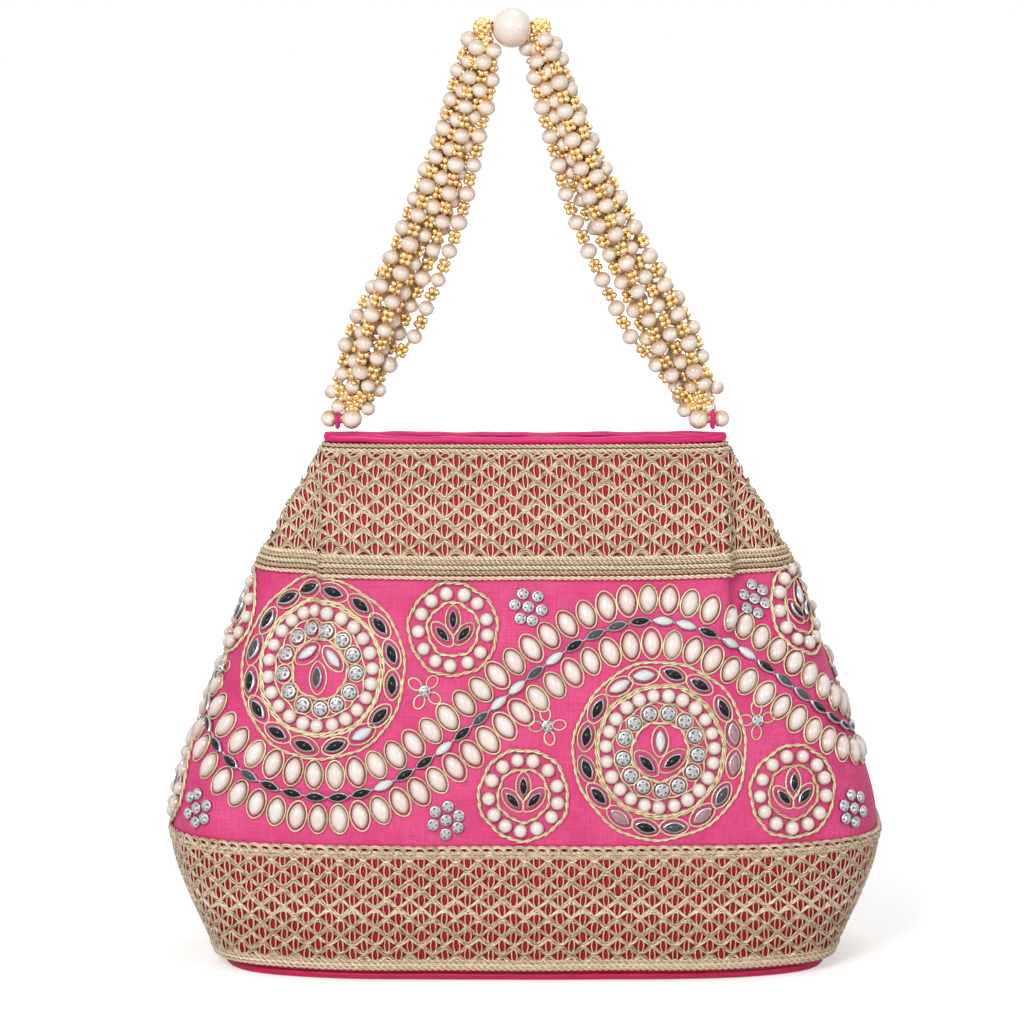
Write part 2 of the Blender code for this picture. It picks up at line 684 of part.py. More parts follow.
def top_pearl():
    """Large pearl with a bore along X."""
    lip = math.degrees(math.asin(PEARL_BORE / PEARL_RADIUS))
    profile = ball_steps(0.0, PEARL_RADIUS, lip, 180 - lip, 7)
    centre = (PEARL_CENTRE_X, 0.0, PEARL_CENTRE_HEIGHT)
    turned_about_x("top_pearl", centre, profile, (PEARL_CREAM, 0.2, 0.0), closed=True)


def core_knot_place():
    """Distance of each core knot from the middle of the top pearl."""
    return PEARL_RADIUS + SEAT_CLEARANCE + CORE_KNOT_RADIUS


def core_thread():
    """Thread through the top pearl, knotted at each side of it."""
    place = core_knot_place()
    neck = math.degrees(math.asin(CORE_RADIUS / CORE_KNOT_RADIUS))
    left = ball_steps(-place, CORE_KNOT_RADIUS, neck, 180 - neck, 4)
    right = ball_steps(place, CORE_KNOT_RADIUS, neck, 180 - neck, 4)
    centre = (PEARL_CENTRE_X, 0.0, PEARL_CENTRE_HEIGHT)
    turned_about_x("core_thread", centre, left + right, (GOLD_THREAD, 0.5, 0.2))


def end_knot(side, sign):
    """Knot that gathers the strands, with a peg that turns in the eyelet and a head outside it."""
    neck = math.degrees(math.asin(PEG_RADIUS / KNOT_RADIUS))
    head = EYELET_WIDTH / 2 + SEAT_CLEARANCE
    ball = ball_steps(EYELET_PLACE - knot_place(), KNOT_RADIUS, neck, 180 - neck, 5)
    inwards = [
        (-head - PEG_HEAD_LENGTH, PEG_RADIUS),
        (-head - PEG_HEAD_LENGTH / 2, PEG_HEAD_RADIUS),
        (-head, PEG_HEAD_RADIUS),
        (-head, PEG_RADIUS),
        *ball,
    ]
    profile = [(-sign * along, radius) for along, radius in inwards]
    centre = (sign * EYELET_PLACE, 0.0, AXIS_HEIGHT)
    turned_about_x(f"end_knot_{side}", centre, profile, (GOLD_THREAD, 0.5, 0.2))


def knot_place():
    """Distance of an end knot's ball from the middle of the bag."""
    return EYELET_PLACE - EYELET_WIDTH / 2 - SEAT_CLEARANCE - KNOT_RADIUS


def eyelet(side, sign):
    """Thread eyelet at the corner of the mouth, in which the handle swings."""
    outer = AXIS_HEIGHT - RIM_HEIGHT - SEAT_CLEARANCE
    half = EYELET_WIDTH / 2
    middle = (EYELET_HOLE + outer) / 2
    profile = ((-half, middle), (0.0, outer), (half, middle), (0.0, EYELET_HOLE))
    centre = (sign * EYELET_PLACE, 0.0, AXIS_HEIGHT)
    turned_about_x(f"eyelet_{side}", centre, profile, (GOLD_THREAD, 0.5, 0.2), closed=True)


def strand(side, sign, number):
    """One string of pearls, from its end knot up to the core knot, spreading and twisting between."""
    low = AXIS_HEIGHT + KNOT_RADIUS + SEAT_CLEARANCE
    high = PEARL_CENTRE_HEIGHT - CORE_KNOT_RADIUS - SEAT_CLEARANCE
    share = np.linspace(0.0, 1.0, 2 * STRAND_BEADS + 1)
    z = low + (high - low) * share
    foot = sign * knot_place()
    head = PEARL_CENTRE_X + sign * core_knot_place()
    x = foot + (head - foot) * smooth_curve(share, *BUNDLE_LEAN)
    spread = smooth_curve(share, *BUNDLE_SPREAD)
    angle = 2 * math.pi * number / STRANDS_PER_SIDE + sign * STRAND_TWIST * share
    inside = smooth_step(share, 0.0, BUNDLE_END_SHARE) * smooth_step(1 - share, 0.0, BUNDLE_END_SHARE)
    flatness = 1 - (1 - BUNDLE_FLATNESS) * inside
    centre = np.stack([x + spread * np.cos(angle), flatness * spread * np.sin(angle), z], axis=-1)
    radius = np.where((np.arange(len(share)) + number) % 2, STRAND_PEARL_RADIUS, STRAND_SEED_RADIUS)
    radius[[0, -1]] = STRAND_END_RADIUS
    tangent = np.gradient(centre, axis=0)
    tangent /= np.linalg.norm(tangent, axis=-1, keepdims=True)
    tangent[[0, -1]] = (0.0, 0.0, 1.0)
    out = np.cross(tangent, (0.0, 1.0, 0.0))
    out /= np.linalg.norm(out, axis=-1, keepdims=True)
    up = np.cross(tangent, out)
    turn = np.linspace(0.0, 2 * math.pi, STRAND_SIDES, endpoint=False)
    circle = out[:, None, :] * np.cos(turn)[None, :, None] + up[:, None, :] * np.sin(turn)[None, :, None]
    rings = centre[:, None, :] + circle * radius[:, None, None]
    skin(f"strand_{side}_{number + 1}", rings, (PEARL_CREAM, 0.3, 0.0))


def build():
    """Makes every piece of the bag."""
    for old in list(bpy.data.objects):
        bpy.data.objects.remove(old)
    base_panel()
    base_board()
    lining()
    for side, turn in (("front", np.asarray), ("rear", turned_half_round)):
        panel(side, turn)
        binding(side, turn)
        snap_half(side, turn)
        lace_band(f"lower_lace_{side}", BASE_THICKNESS + CLEARANCE, LOWER_LACE_TOP, turn)
        lace_band(f"upper_lace_{side}", UPPER_LACE_BOTTOM, MOUTH_HEIGHT, turn)
        embroidery(side, turn)
    top_pearl()
    core_thread()
    for side, sign in (("left", -1), ("right", 1)):
        eyelet(side, sign)
        end_knot(side, sign)
        for number in range(STRANDS_PER_SIDE):
            strand(side, sign, number)


build()
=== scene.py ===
"""Looks of the potli bag: silk body, crochet lace, mirror and pearl embroidery, and the bead handle.

Cloth is described as in the model: a distance s round the bag from the middle of a face, and a
height z. Every ornament is placed by s and z, and raised from the cloth. The rear face is the front
face turned half round.
"""

import math

import bpy
import numpy as np
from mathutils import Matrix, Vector


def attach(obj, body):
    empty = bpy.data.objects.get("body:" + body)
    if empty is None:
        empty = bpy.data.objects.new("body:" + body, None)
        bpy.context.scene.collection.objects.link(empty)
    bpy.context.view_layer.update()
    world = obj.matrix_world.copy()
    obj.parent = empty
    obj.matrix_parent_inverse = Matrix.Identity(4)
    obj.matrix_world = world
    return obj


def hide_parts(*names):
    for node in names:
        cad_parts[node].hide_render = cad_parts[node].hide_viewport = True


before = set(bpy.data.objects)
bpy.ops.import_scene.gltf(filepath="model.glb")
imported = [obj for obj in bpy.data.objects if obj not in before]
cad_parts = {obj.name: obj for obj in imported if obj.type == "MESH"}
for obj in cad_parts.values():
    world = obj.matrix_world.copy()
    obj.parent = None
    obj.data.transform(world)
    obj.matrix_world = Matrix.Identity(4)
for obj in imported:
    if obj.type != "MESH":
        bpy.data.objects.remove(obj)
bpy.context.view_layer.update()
MM = 0.001

# Outline of the silk body, as in the model: height, half width and half depth at each station
BASE_HALF_WIDTH = 0.0975
BASE_HALF_DEPTH = 0.038
BELLY_HEIGHT = 0.046
BELLY_HALF_WIDTH = 0.113
BELLY_HALF_DEPTH = 0.045
WAIST_HEIGHT = 0.084
WAIST_HALF_WIDTH = 0.1015
WAIST_HALF_DEPTH = 0.038
SHOULDER_HEIGHT = 0.128
SHOULDER_HALF_WIDTH = 0.0855
SHOULDER_HALF_DEPTH = 0.0245
MOUTH_HEIGHT = 0.1675
MOUTH_HALF_WIDTH = 0.0635
MOUTH_HALF_DEPTH = 0.0056
RIM_HEIGHT = 0.171
LOWER_SQUARENESS = 3.7
UPPER_SQUARENESS = 2.7

# Pleat on each side of a face
FOLD_HALF_SPACING = 0.0645
FOLD_DEPTH = 0.006
FOLD_START_HEIGHT = 0.088
FOLD_FULL_HEIGHT = 0.126
FOLD_GUSSET_WIDTH = 0.018
FOLD_LEAST_SHARE = 0.05

# Cloth, lining and base
PANEL_THICKNESS = 0.0014
BASE_THICKNESS = 0.0027
BASE_INSET = 0.001
BASE_ROUNDING = 0.0011
LINING_FLOOR = 0.0055
LINING_THICKNESS = 0.0006
LINING_CLEARANCE = 0.0017
LINING_DROP = 0.0095
BINDING_OVERLAP = 0.0009
BINDING_THICKNESS = 0.0028

# Lace bands
LOWER_LACE = (BASE_THICKNESS + 0.0003, BELLY_HEIGHT)
UPPER_LACE_HEIGHT = 0.0405
UPPER_LACE = (MOUTH_HEIGHT - UPPER_LACE_HEIGHT, MOUTH_HEIGHT)
NET_PITCH = 0.0073
LOWER_NET_ROW = 0.00314
UPPER_NET_ROW = 0.0029
NET_WAVE = 0.00115
NET_THREAD = 0.00033
CORD_SPREAD = 0.00046
CORD_TWIST = 0.0036
UPPER_NET_LIFT = 0.0078
UPPER_NET_ROWS = 10
LOWER_NET_LIFT = 0.0047
LOWER_NET_ROWS = 11
EYE_THREAD = 0.00027
EYE_BOW = 0.00085
SCALLOP_PITCH = 0.0035
SCALLOP_HALF_WIDTH = 0.0026
SCALLOP_HEIGHT = 0.0017
ROPE_REACH = 0.0004
ROPE_PLY = 0.00042
DENSE_PLY = 0.00045
DENSE_TWIST = 0.0031

# Embroidery
WAVE_MIDDLE = 0.0877
WAVE_AMPLITUDE = 0.027
WAVE_HALF_PERIOD = 0.1024
WAVE_CENTRE = -0.0112
SPIRAL_RADIUS = 0.0388
SPIRAL_END_RADIUS = 0.0552
MIRROR_HALF_WIDTH = 0.0016
MIRROR_PITCH = 0.0073
MIRROR_HEIGHT = 0.0016
ROW_DISTANCE = 0.0067
PEARL_HALF_LENGTH = 0.0040
PEARL_PITCH = 0.0067
SEAM_CLEARANCE = 0.0003
OVAL_PEARL_SIZE = (0.00265, 0.0042, 0.0026)
OVAL_PEARL_WIRE = (0.0031, 0.0049)
ROUND_PEARL_RADIUS = 0.00236
STONE_RADIUS = 0.0023
FLOWER_STONE_RADIUS = 0.0019
FLOWER_RING = 0.0043
PETAL_RING = 0.0037
PETAL_WIRE = (0.0016, 0.0022)

# Places of ornaments: share of the belly's half width, and of the way up between the lace bands
LARGE_MEDALLIONS = {"crest": (-0.5779, 0.6605), "trough": (0.3761, 0.3580)}
SMALL_MEDALLIONS = {
    "upper": (-0.2018, 0.8173),
    "lower": (-0.0053, 0.1926),
    "corner": (0.7522, 0.1914),
}
STONE_FLOWERS = {
    "top": (0.0088, 0.9012),
    "bottom": (-0.2212, 0.0988),
    "right": (0.9425, 0.1049),
}

# Places of the ornaments that the model leaves out: distance round the bag, and height
SIDE_MEDALLIONS = {
    "right": (0.0955, 0.1160),
    "left": (-0.1060, 0.1145),
    "left_low": (-0.1290, 0.0605),
}
MORE_STONE_FLOWERS = ((-0.1065, 0.0545), (0.0752, 0.1192))
WIRE_FLOWERS = ((-0.0317, 0.0935), (0.0070, 0.0829), (0.0735, 0.0838), (-0.1045, 0.0960))
WIRE = 0.00033
THIN_CORD = 0.00034
THICK_CORD = 0.0004

# Rings of a large medallion from outside in, then those of a small one: radii, sizes and counts
LARGE_OUTER_CORD = 0.0273
LARGE_MIRROR_RING = 0.0237
LARGE_MIRROR = (0.0019, 0.0038)
LARGE_MIRROR_WIRE = (0.0027, 0.0047)
LARGE_DOUBLE_CORD = (0.0204, 0.0197)
LARGE_PEARL_RING = (0.0171, 23)
LARGE_WIRE_RING = 0.0147
LARGE_STONE_RING = (0.0119, 13)
LARGE_STONE_WIRE = (0.0027, 0.0027)
LARGE_INNER_CORD = 0.0090
LARGE_LEAF = 0.0034
SMALL_OUTER_CORD = 0.0140
SMALL_PEARL_RING = (0.0110, 13)
SMALL_INNER_CORD = 0.0081
SMALL_LEAF = 0.0030

# Mirrors in a medallion: places in mm and angles of the leaves, glass of the leaves, glass of the ring.
# Glass is given by letters, each a painted reflection: k black, s smoky grey, p pink, w white.
MIRROR_REFLECTION_TONES = {"k": 0.1, "s": 0.6, "p": 0.7, "w": 0.9}
MEDALLION_MIRRORS = {
    "crest": (((-4.0, 4.4, 35), (4.5, 3.4, 128), (-0.3, -2.6, 88)), "wws", "kkkkkkkskkkkkwkk"),
    "trough": (((0.0, 3.1, 90), (-4.3, -3.6, 134), (3.9, -2.9, 35)), "wkk", "pkkkwwkkkkpkspsp"),
}
SMALL_LEAVES = ((0.0, 2.9, 90), (-3.4, -1.4, 132), (3.4, -1.3, 47))
CHAIN_MIRROR_REFLECTIONS = "kkkksw"

# Handle
AXIS_HEIGHT = 0.175
KNOT_PLACE = 0.05535
KNOT_PEARL_RADIUS = 0.00335
PEG_HEAD_PLACE = 0.0625
PEG_PEARL_RADIUS = 0.0027
PEARL_CENTRE = (-0.0042, 0.0, 0.2997)
PEARL_RADIUS = 0.00625
PEARL_BORE = 0.0019
CORE_KNOT_PLACE = 0.009
CORE_KNOT_RADIUS = 0.0024
STRAND_LOW = 0.17865
STRAND_HIGH = 0.29695
STRAND_COUNT = 10
STRAND_PEARLS = 13
STRAND_TWIST = 0.8 * math.pi
FOOT_ROOM = 0.0015
FOOT_OPENS = (0.0105, 0.0160)
STRAND_PEARL_RADIUS = 0.00268
SEED_RADIUS = 0.00116
SEED_ROW = 0.00195
SEED_RING = 0.00114
BUNDLE_LEAN = ((0.0, 0.2, 0.5, 0.8, 1.0), (0.0, 0.21, 0.58, 0.87, 1.0))
BUNDLE_SPREAD = (
    (0.0, 0.07, 0.2, 0.45, 0.8, 0.93, 1.0),
    (0.0017, 0.0062, 0.0105, 0.0092, 0.0058, 0.0038, 0.0017),
)

# Colours
SILK_PINK = "E2387C"
SILK_LIGHT = "F65C9A"
SILK_SHADE = "CC2C68"
# Deeper crimson of the silk under the lace bands, in part painted shade of the lace
SILK_UNDER_LACE_AND_SHADE = "B80A30"
BINDING_PINK = "EF0F7A"
BASE_PINK = "DE0C58"
LINING_PINK = "B0124A"
LACE_DARK = "A88258"
LACE_LIGHT = "FFEED2"
WIRE_GOLD = "F4E4C0"
PEARL_WHITE = "FBF4EF"
PEARL_BLUSH = "F2E1D6"
# Painted shade at the foot of a half-round pearl
PEARL_EDGE_SHADE = "A8705C"
PEARL_COAT = "FFFAF6"
STRING_WHITE = "FFFAF3"
# Painted shade and painted reflection of the gold seeds at the ends of a strung pearl, and painted shade
# low on the large pearl
STRING_SHADE_AND_REFLECTION = "D0A67C"
SEED_GOLD = "FFDDA0"
# Painted reflections of the mirrors: dark, smoky grey, pink and bright
MIRROR_DARK_REFLECTION = "050607"
MIRROR_GREY_REFLECTION = "4C5258"
MIRROR_PINK_REFLECTION = "B98D92"
MIRROR_BRIGHT_REFLECTION = "F2F3F3"
SILVER = "C3C5C8"
STEEL_GREY = "A9ABB0"
BOARD_GREY = "6B655C"
SHEEN_PINK = "FFB3D2"
WIRE_SHADE = "B39466"
# Painted dark reflection and painted glint of the cut stones' facets
STONE_DARK_REFLECTION = "101214"
STONE_GLINT = "F4F5F6"
FLOOR_PAPER = "F7F7F7"

# Fineness of the computed curves and surfaces
WAVE_STEPS = 400
TABLE_ROWS = 180
TABLE_COLUMNS = 260
RING_COLUMNS = 48
PEARL_SEGMENTS = 36

# Stage
FLOOR_REACH = 3.0
FLOOR_NEAR = 0.13
FLOOR_FAR = 0.40
FLOOR_GLOW = 0.5
WORLD_LIGHT = 0.24
LAMPS = (
    ("key", (-0.5, -1.35, 0.95), 0.55, 15.0),
    ("fill", (1.1, -1.2, 0.7), 0.6, 3.2),
    ("top", (0.2, 0.4, 1.6), 0.8, 5.5),
)
LAMP_AIM = (0.0, 0.0, 0.13)
CAMERA_LENS = 200.0
CAMERA_SENSOR = 36.0
CAMERA_REACH = 20.0
CAMERA_RISE = math.radians(10)
CAMERA_DISTANCE = 1.82
CAMERA_AIM = (-0.0042, 0.0, 0.1447)


def smooth_curve(at, places, values):
    """Cubic through the stations whose slopes are the harmonic means of its neighbours' rises."""
    at = np.asarray(at, dtype=float)
    places = np.asarray(places, dtype=float)
    values = np.asarray(values, dtype=float)
    run = np.diff(places)
    rise = np.diff(values) / run
    agree = rise[:-1] * rise[1:] > 0
    total = np.where(agree, rise[:-1] + rise[1:], 1.0)
    slope = np.empty(len(places))
    slope[1:-1] = np.where(agree, 2 * rise[:-1] * rise[1:] / total, 0.0)
    slope[0] = rise[0]
    slope[-1] = rise[-1]
    k = np.clip(np.searchsorted(places, at, side="right") - 1, 0, len(run) - 1)
    t = (at - places[k]) / run[k]
    start = (1 + 2 * t) * (1 - t) ** 2 * values[k] + t * (1 - t) ** 2 * run[k] * slope[k]
    end = t * t * (3 - 2 * t) * values[k + 1] + t * t * (t - 1) * run[k] * slope[k + 1]
    return start + end


def smooth_step(value, low, high):
    """Rises smoothly from 0 at low to 1 at high."""
    t = np.clip((value - low) / (high - low), 0.0, 1.0)
    return t * t * (3 - 2 * t)


def unit(vectors):
    """Vectors scaled to length one."""
    return vectors / np.maximum(np.linalg.norm(vectors, axis=-1, keepdims=True), 1e-12)


STATIONS = (0.0, BELLY_HEIGHT, WAIST_HEIGHT, SHOULDER_HEIGHT, MOUTH_HEIGHT)
WIDTHS = (
    BASE_HALF_WIDTH,
    BELLY_HALF_WIDTH,
    WAIST_HALF_WIDTH,
    SHOULDER_HALF_WIDTH,
    MOUTH_HALF_WIDTH,
)
DEPTHS = (
    BASE_HALF_DEPTH,
    BELLY_HALF_DEPTH,
    WAIST_HALF_DEPTH,
    SHOULDER_HALF_DEPTH,
    MOUTH_HALF_DEPTH,
)


def quarter_section(z):
    """Front right quarter of the body's section at z, a superellipse, evenly spaced along its length."""
    z = min(z, MOUTH_HEIGHT)
    width = smooth_curve(z, STATIONS, WIDTHS)
    depth = smooth_curve(z, STATIONS, DEPTHS)
    upper = smooth_step(z, BELLY_HEIGHT, MOUTH_HEIGHT)
    power = LOWER_SQUARENESS + (UPPER_SQUARENESS - LOWER_SQUARENESS) * upper
    angle = np.linspace(0.0, math.pi / 2, 4 * TABLE_COLUMNS)
    across = np.sin(angle)
    along = np.cos(angle)
    reach = (across**power + along**power) ** (-1 / power)
    x = width * across * reach
    y = -depth * along * reach
    s = np.concatenate(([0.0], np.cumsum(np.hypot(np.diff(x), np.diff(y)))))
    length = s[-1]
    even = np.linspace(0.0, length, TABLE_COLUMNS)
    fold = np.interp(min(FOLD_HALF_SPACING, width), x, s)
    fold = min(fold, length * (1 - FOLD_LEAST_SHARE))
    return np.interp(even, s, x), np.interp(even, s, y), length, fold


def surface_tables():
    """Grids of the body with and without its pleats, over even steps of height and of s."""
    heights = np.linspace(0.0, RIM_HEIGHT, TABLE_ROWS)
    rows = [quarter_section(z) for z in heights]
    smooth = np.array([np.stack([r[0], r[1]], axis=-1) for r in rows])
    length = np.array([r[2] for r in rows])
    fold = np.array([r[3] for r in rows])
    share = np.linspace(0.0, 1.0, TABLE_COLUMNS)[None, :]
    past = np.clip((share * length[:, None] - fold[:, None]) / (length - fold)[:, None], 0.0, 1.0)
    gusset = np.clip((length - fold) / FOLD_GUSSET_WIDTH, 0.0, 1.0) ** 2
    depth = FOLD_DEPTH * smooth_step(heights, FOLD_START_HEIGHT, FOLD_FULL_HEIGHT) * gusset
    sink = depth[:, None] * np.sin(math.pi * np.sqrt(past))
    tangent = unit(np.gradient(smooth, axis=1))
    inward = np.stack([-tangent[..., 1], tangent[..., 0]], axis=-1)
    return heights, length, fold, depth, smooth, smooth + sink[..., None] * inward


HEIGHTS, HALF_LENGTH, FOLD_PLACE, PLEAT_DEPTH, SMOOTH_GRID, FOLDED_GRID = surface_tables()


def with_normals(grid):
    """Adds heights and outward unit normals to a grid of x and y."""
    z = np.broadcast_to(HEIGHTS[:, None, None], grid.shape[:2] + (1,))
    points = np.concatenate([grid, z], axis=-1)
    normal = np.cross(np.gradient(points, axis=1), np.gradient(points, axis=0))
    normal[:, 0, 0] = 0.0
    normal[:, -1, 1] = 0.0
    return np.concatenate([points, unit(normal)], axis=-1)


SMOOTH_TABLE = with_normals(SMOOTH_GRID)
FOLDED_TABLE = with_normals(FOLDED_GRID)


def half_length(z):
    """Distance round the bag from the middle of a face to the side seam, at a height."""
    return np.interp(z, HEIGHTS, HALF_LENGTH)


def fold_place(z):
    """Distance round the bag from the middle of a face to its pleat, at a height."""
    return np.interp(z, HEIGHTS, FOLD_PLACE)


def cloth_relief(s, z):
    """Soft puckers of the stretched cloth: two crossed sines that die away at the side seams."""
    fade = 1 - smooth_step(np.abs(s), 0.08, 0.105)
    slow = np.sin(s / 0.0088 + 1.3 + 22 * z) * np.sin(z / 0.0117 + 0.6)
    fine = np.sin(s / 0.0049 - 31 * z) * np.sin(z / 0.0052 + 2.1)
    return fade * (0.00028 * slow + 0.00009 * fine)


def on_cloth(s, z, raised, folded=True):
    """Points raised above the cloth at s and z; past the side seam they lie on the other face."""
    s, z, raised = np.broadcast_arrays(*[np.asarray(v, dtype=float) for v in (s, z, raised)])
    table = FOLDED_TABLE if folded else SMOOTH_TABLE
    half = half_length(z)
    behind = np.abs(s) > half
    around = np.where(behind, 2 * half - np.abs(s), np.abs(s))
    column = np.clip(around / half, 0.0, 1.0) * (TABLE_COLUMNS - 1)
    row = np.clip(z / RIM_HEIGHT, 0.0, 1.0) * (TABLE_ROWS - 1)
    i = np.minimum(row.astype(int), TABLE_ROWS - 2)
    j = np.minimum(column.astype(int), TABLE_COLUMNS - 2)
    u = (row - i)[..., None]
    v = (column - j)[..., None]
    near = table[i, j] * (1 - v) + table[i, j + 1] * v
    far = table[i + 1, j] * (1 - v) + table[i + 1, j + 1] * v
    found = near * (1 - u) + far * u
    raised = raised + cloth_relief(s, z)
    points = found[..., :3] + unit(found[..., 3:]) * raised[..., None]
    points[..., 0] *= np.where(s < 0, -1.0, 1.0)
    points[..., 1] *= np.where(behind, -1.0, 1.0)
    return points


def cloth_frames(s, z, raised, ahead_s, ahead_z):
    """Point, sideways, ahead and outward directions on the cloth, for ornaments that point ahead."""
    step = 0.0012
    at = on_cloth(s, z, raised)
    along_s = on_cloth(s + step, z, raised) - on_cloth(s - step, z, raised)
    along_z = on_cloth(s, z + step, raised) - on_cloth(s, z - step, raised)
    out = unit(np.cross(along_s, along_z))
    ahead = unit(along_s * np.asarray(ahead_s)[..., None] + along_z * np.asarray(ahead_z)[..., None])
    ahead = unit(ahead - out * np.sum(ahead * out, axis=-1, keepdims=True))
    return at, np.cross(ahead, out), ahead, out


def part(points, faces, finish=0, tint=0.5, place=1.0):
    """Points with their faces, finish number, and the tint and place that the materials read."""
    points = np.asarray(points, dtype=float).reshape(-1, 3)
    count = len(points)
    tint = np.broadcast_to(np.asarray(tint, dtype=float), (count,))
    place = np.broadcast_to(np.asarray(place, dtype=float), (count,))
    return points, [np.asarray(f) for f in faces if len(f)], finish, tint, place


def turned_half_round(parts):
    """The same parts on the rear face."""
    return [(points * (-1.0, -1.0, 1.0), *rest) for points, *rest in parts]


def add_piece(name, parts, finishes, body, stands_for=(), places=None):
    """Joins parts into one mesh that rides on a body. places are s and z for a cloth's UV map."""
    starts = np.cumsum([0] + [len(p[0]) for p in parts])
    blocks = [(f + start, p[2]) for p, start in zip(parts, starts) for f in p[1]]
    corners = np.concatenate([f.ravel() for f, _ in blocks])
    sides = np.concatenate([np.full(len(f), f.shape[1]) for f, _ in blocks])
    which = np.concatenate([np.full(len(f), finish) for f, finish in blocks])
    points = np.concatenate([p[0] for p in parts])
    mesh = bpy.data.meshes.new(name)
    mesh.vertices.add(len(points))
    mesh.vertices.foreach_set("co", points.ravel())
    mesh.loops.add(len(corners))
    mesh.loops.foreach_set("vertex_index", corners.astype(np.int32))
    mesh.polygons.add(len(sides))
    firsts = np.concatenate([[0], np.cumsum(sides)[:-1]])
    mesh.polygons.foreach_set("loop_start", firsts.astype(np.int32))
    mesh.polygons.foreach_set("material_index", which.astype(np.int32))
    mesh.update(calc_edges=True)
    mesh.shade_smooth()
    for key, column in (("tint", 3), ("place", 4)):
        values = np.concatenate([p[column] for p in parts]).astype(np.float32)
        mesh.attributes.new(key, "FLOAT", "POINT").data.foreach_set("value", values)
    if places is not None:
        layer = mesh.uv_layers.new(name="Cloth")
        layer.data.foreach_set("uv", places[corners].astype(np.float32).ravel())
    piece = bpy.data.objects.new(name, mesh)
    bpy.context.scene.collection.objects.link(piece)
    for finish in finishes:
        mesh.materials.append(finish)
    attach(piece, body)
    if stands_for:
        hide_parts(*stands_for)
    return piece


def add_both(name, parts, finishes, stands_for=()):
    """The piece on the front face and its copy on the rear face; node names end in their side."""
    pair = []
    for side, made in (("front", parts), ("rear", turned_half_round(parts))):
        nodes = [f"{node}_{side}" for node in stands_for]
        pair.append(add_piece(f"{name}_{side}", made, finishes, "bag", nodes))
    return pair


def grid_faces(rows, columns, closed=False):
    """Quads of a grid of points, rows by columns; a closed grid joins its last column to its first."""
    index = np.arange(rows * columns).reshape(rows, columns)
    if closed:
        index = np.concatenate([index, index[:, :1]], axis=1)
    a, b = index[:-1, :-1], index[:-1, 1:]
    c, d = index[1:, 1:], index[1:, :-1]
    return np.stack([a, b, c, d], axis=-1).reshape(-1, 4)


def tubes(path, out, radius, sides, closed=False, **looks):
    """Round threads along many paths at once: a ring of points about each step of each path."""
    if closed:
        tangent = unit(np.roll(path, -1, axis=1) - np.roll(path, 1, axis=1))
    else:
        tangent = unit(np.gradient(path, axis=1))
    side = unit(np.cross(tangent, out))
    rise = np.cross(side, tangent)
    turn = np.linspace(0.0, 2 * math.pi, sides, endpoint=False)[:, None]
    circle = np.cos(turn) * side[:, :, None, :] + np.sin(turn) * rise[:, :, None, :]
    radius = np.broadcast_to(np.asarray(radius, dtype=float), path.shape[:2])
    points = path[:, :, None, :] + circle * radius[:, :, None, None]
    count, steps = path.shape[:2]
    index = np.arange(count * steps * sides).reshape(count, steps, sides)
    low = index if closed else index[:, :-1]
    high = np.roll(index, -1, axis=1) if closed else index[:, 1:]
    quads = [low, high, np.roll(high, -1, axis=2), np.roll(low, -1, axis=2)]
    faces = [np.stack(quads, axis=-1).reshape(-1, 4)]
    if not closed:
        faces += [index[:, 0], index[:, -1, ::-1]]
    for key in ("tint", "place"):
        if key in looks and np.ndim(looks[key]) == 1:
            looks[key] = np.repeat(looks[key], steps * sides)
        elif key in looks and np.ndim(looks[key]) == 2:
            looks[key] = np.repeat(looks[key].ravel(), sides)
    return part(points, faces, **looks)


def cloth_threads(s, z, raised, radius, sides=4, closed=False, **looks):
    """Threads laid on the cloth along many paths of s and z."""
    path = on_cloth(s, z, raised)
    above = on_cloth(s, z, raised + 0.001)
    return tubes(path, above - path, radius, sides, closed, **looks)


def scatter(shape, frames, size, finish=0, tint=0.5):
    """Copies of a unit shape in many frames, each stretched sideways, ahead and outwards by size."""
    points, faces, place = shape
    at, side, ahead, out = [np.asarray(v).reshape(-1, 3) for v in frames]
    count = len(at)
    size = np.broadcast_to(np.asarray(size, dtype=float), (count, 3))
    local = points[None] * size[:, None, :]
    axes = np.stack([side, ahead, out], axis=1)
    world = at[:, None, :] + local @ axes
    first = (np.arange(count) * len(points))[:, None, None]
    moved = [(f[None] + first).reshape(-1, f.shape[1]) for f in faces]
    tint = np.repeat(np.broadcast_to(np.asarray(tint, dtype=float), (count,)), len(points))
    return part(world, moved, finish, tint, np.tile(place, count))


def shell(rings, top=None, bottom=None):
    """Shape from closed rings of points, bottom first, ended by a point or by a flat face."""
    count = rings.shape[1]
    points = rings.reshape(-1, 3)
    faces = [grid_faces(len(rings), count, closed=True)]
    index = np.arange(len(points)).reshape(len(rings), count)
    for end, ring in ((top, index[-1]), (bottom, index[0, ::-1])):
        if end is None:
            faces.append(ring[None])
            continue
        pole = np.full(count, len(points))
        points = np.concatenate([points, [end]])
        faces.append(np.stack([ring, np.roll(ring, -1), pole], axis=-1))
    return points, faces


def dome_shape(rings, segments, pinch=0.0, sag=0.12):
    """Half ball on a flat back; pinch narrows it towards both ends of its length."""
    rise = np.concatenate([[0.0], np.linspace(0.12, math.pi / 2, rings + 1)[:-1]])
    turn = np.linspace(0.0, 2 * math.pi, segments, endpoint=False)
    ahead = np.sin(turn)[None, :] * np.cos(rise)[:, None]
    side = np.cos(turn)[None, :] * np.cos(rise)[:, None] * (1 - pinch * np.sin(turn)[None, :] ** 2)
    level = sag + (1 - sag) * np.sin(rise)[:, None]
    level[0] = 0.0
    out = np.broadcast_to(level, ahead.shape)
    points, faces = shell(np.stack([side, ahead, out], axis=-1), top=(0.0, 0.0, 1.0))
    # The height is the place, which the pearl finish turns into painted shade towards the foot
    return points, faces, points[:, 2]


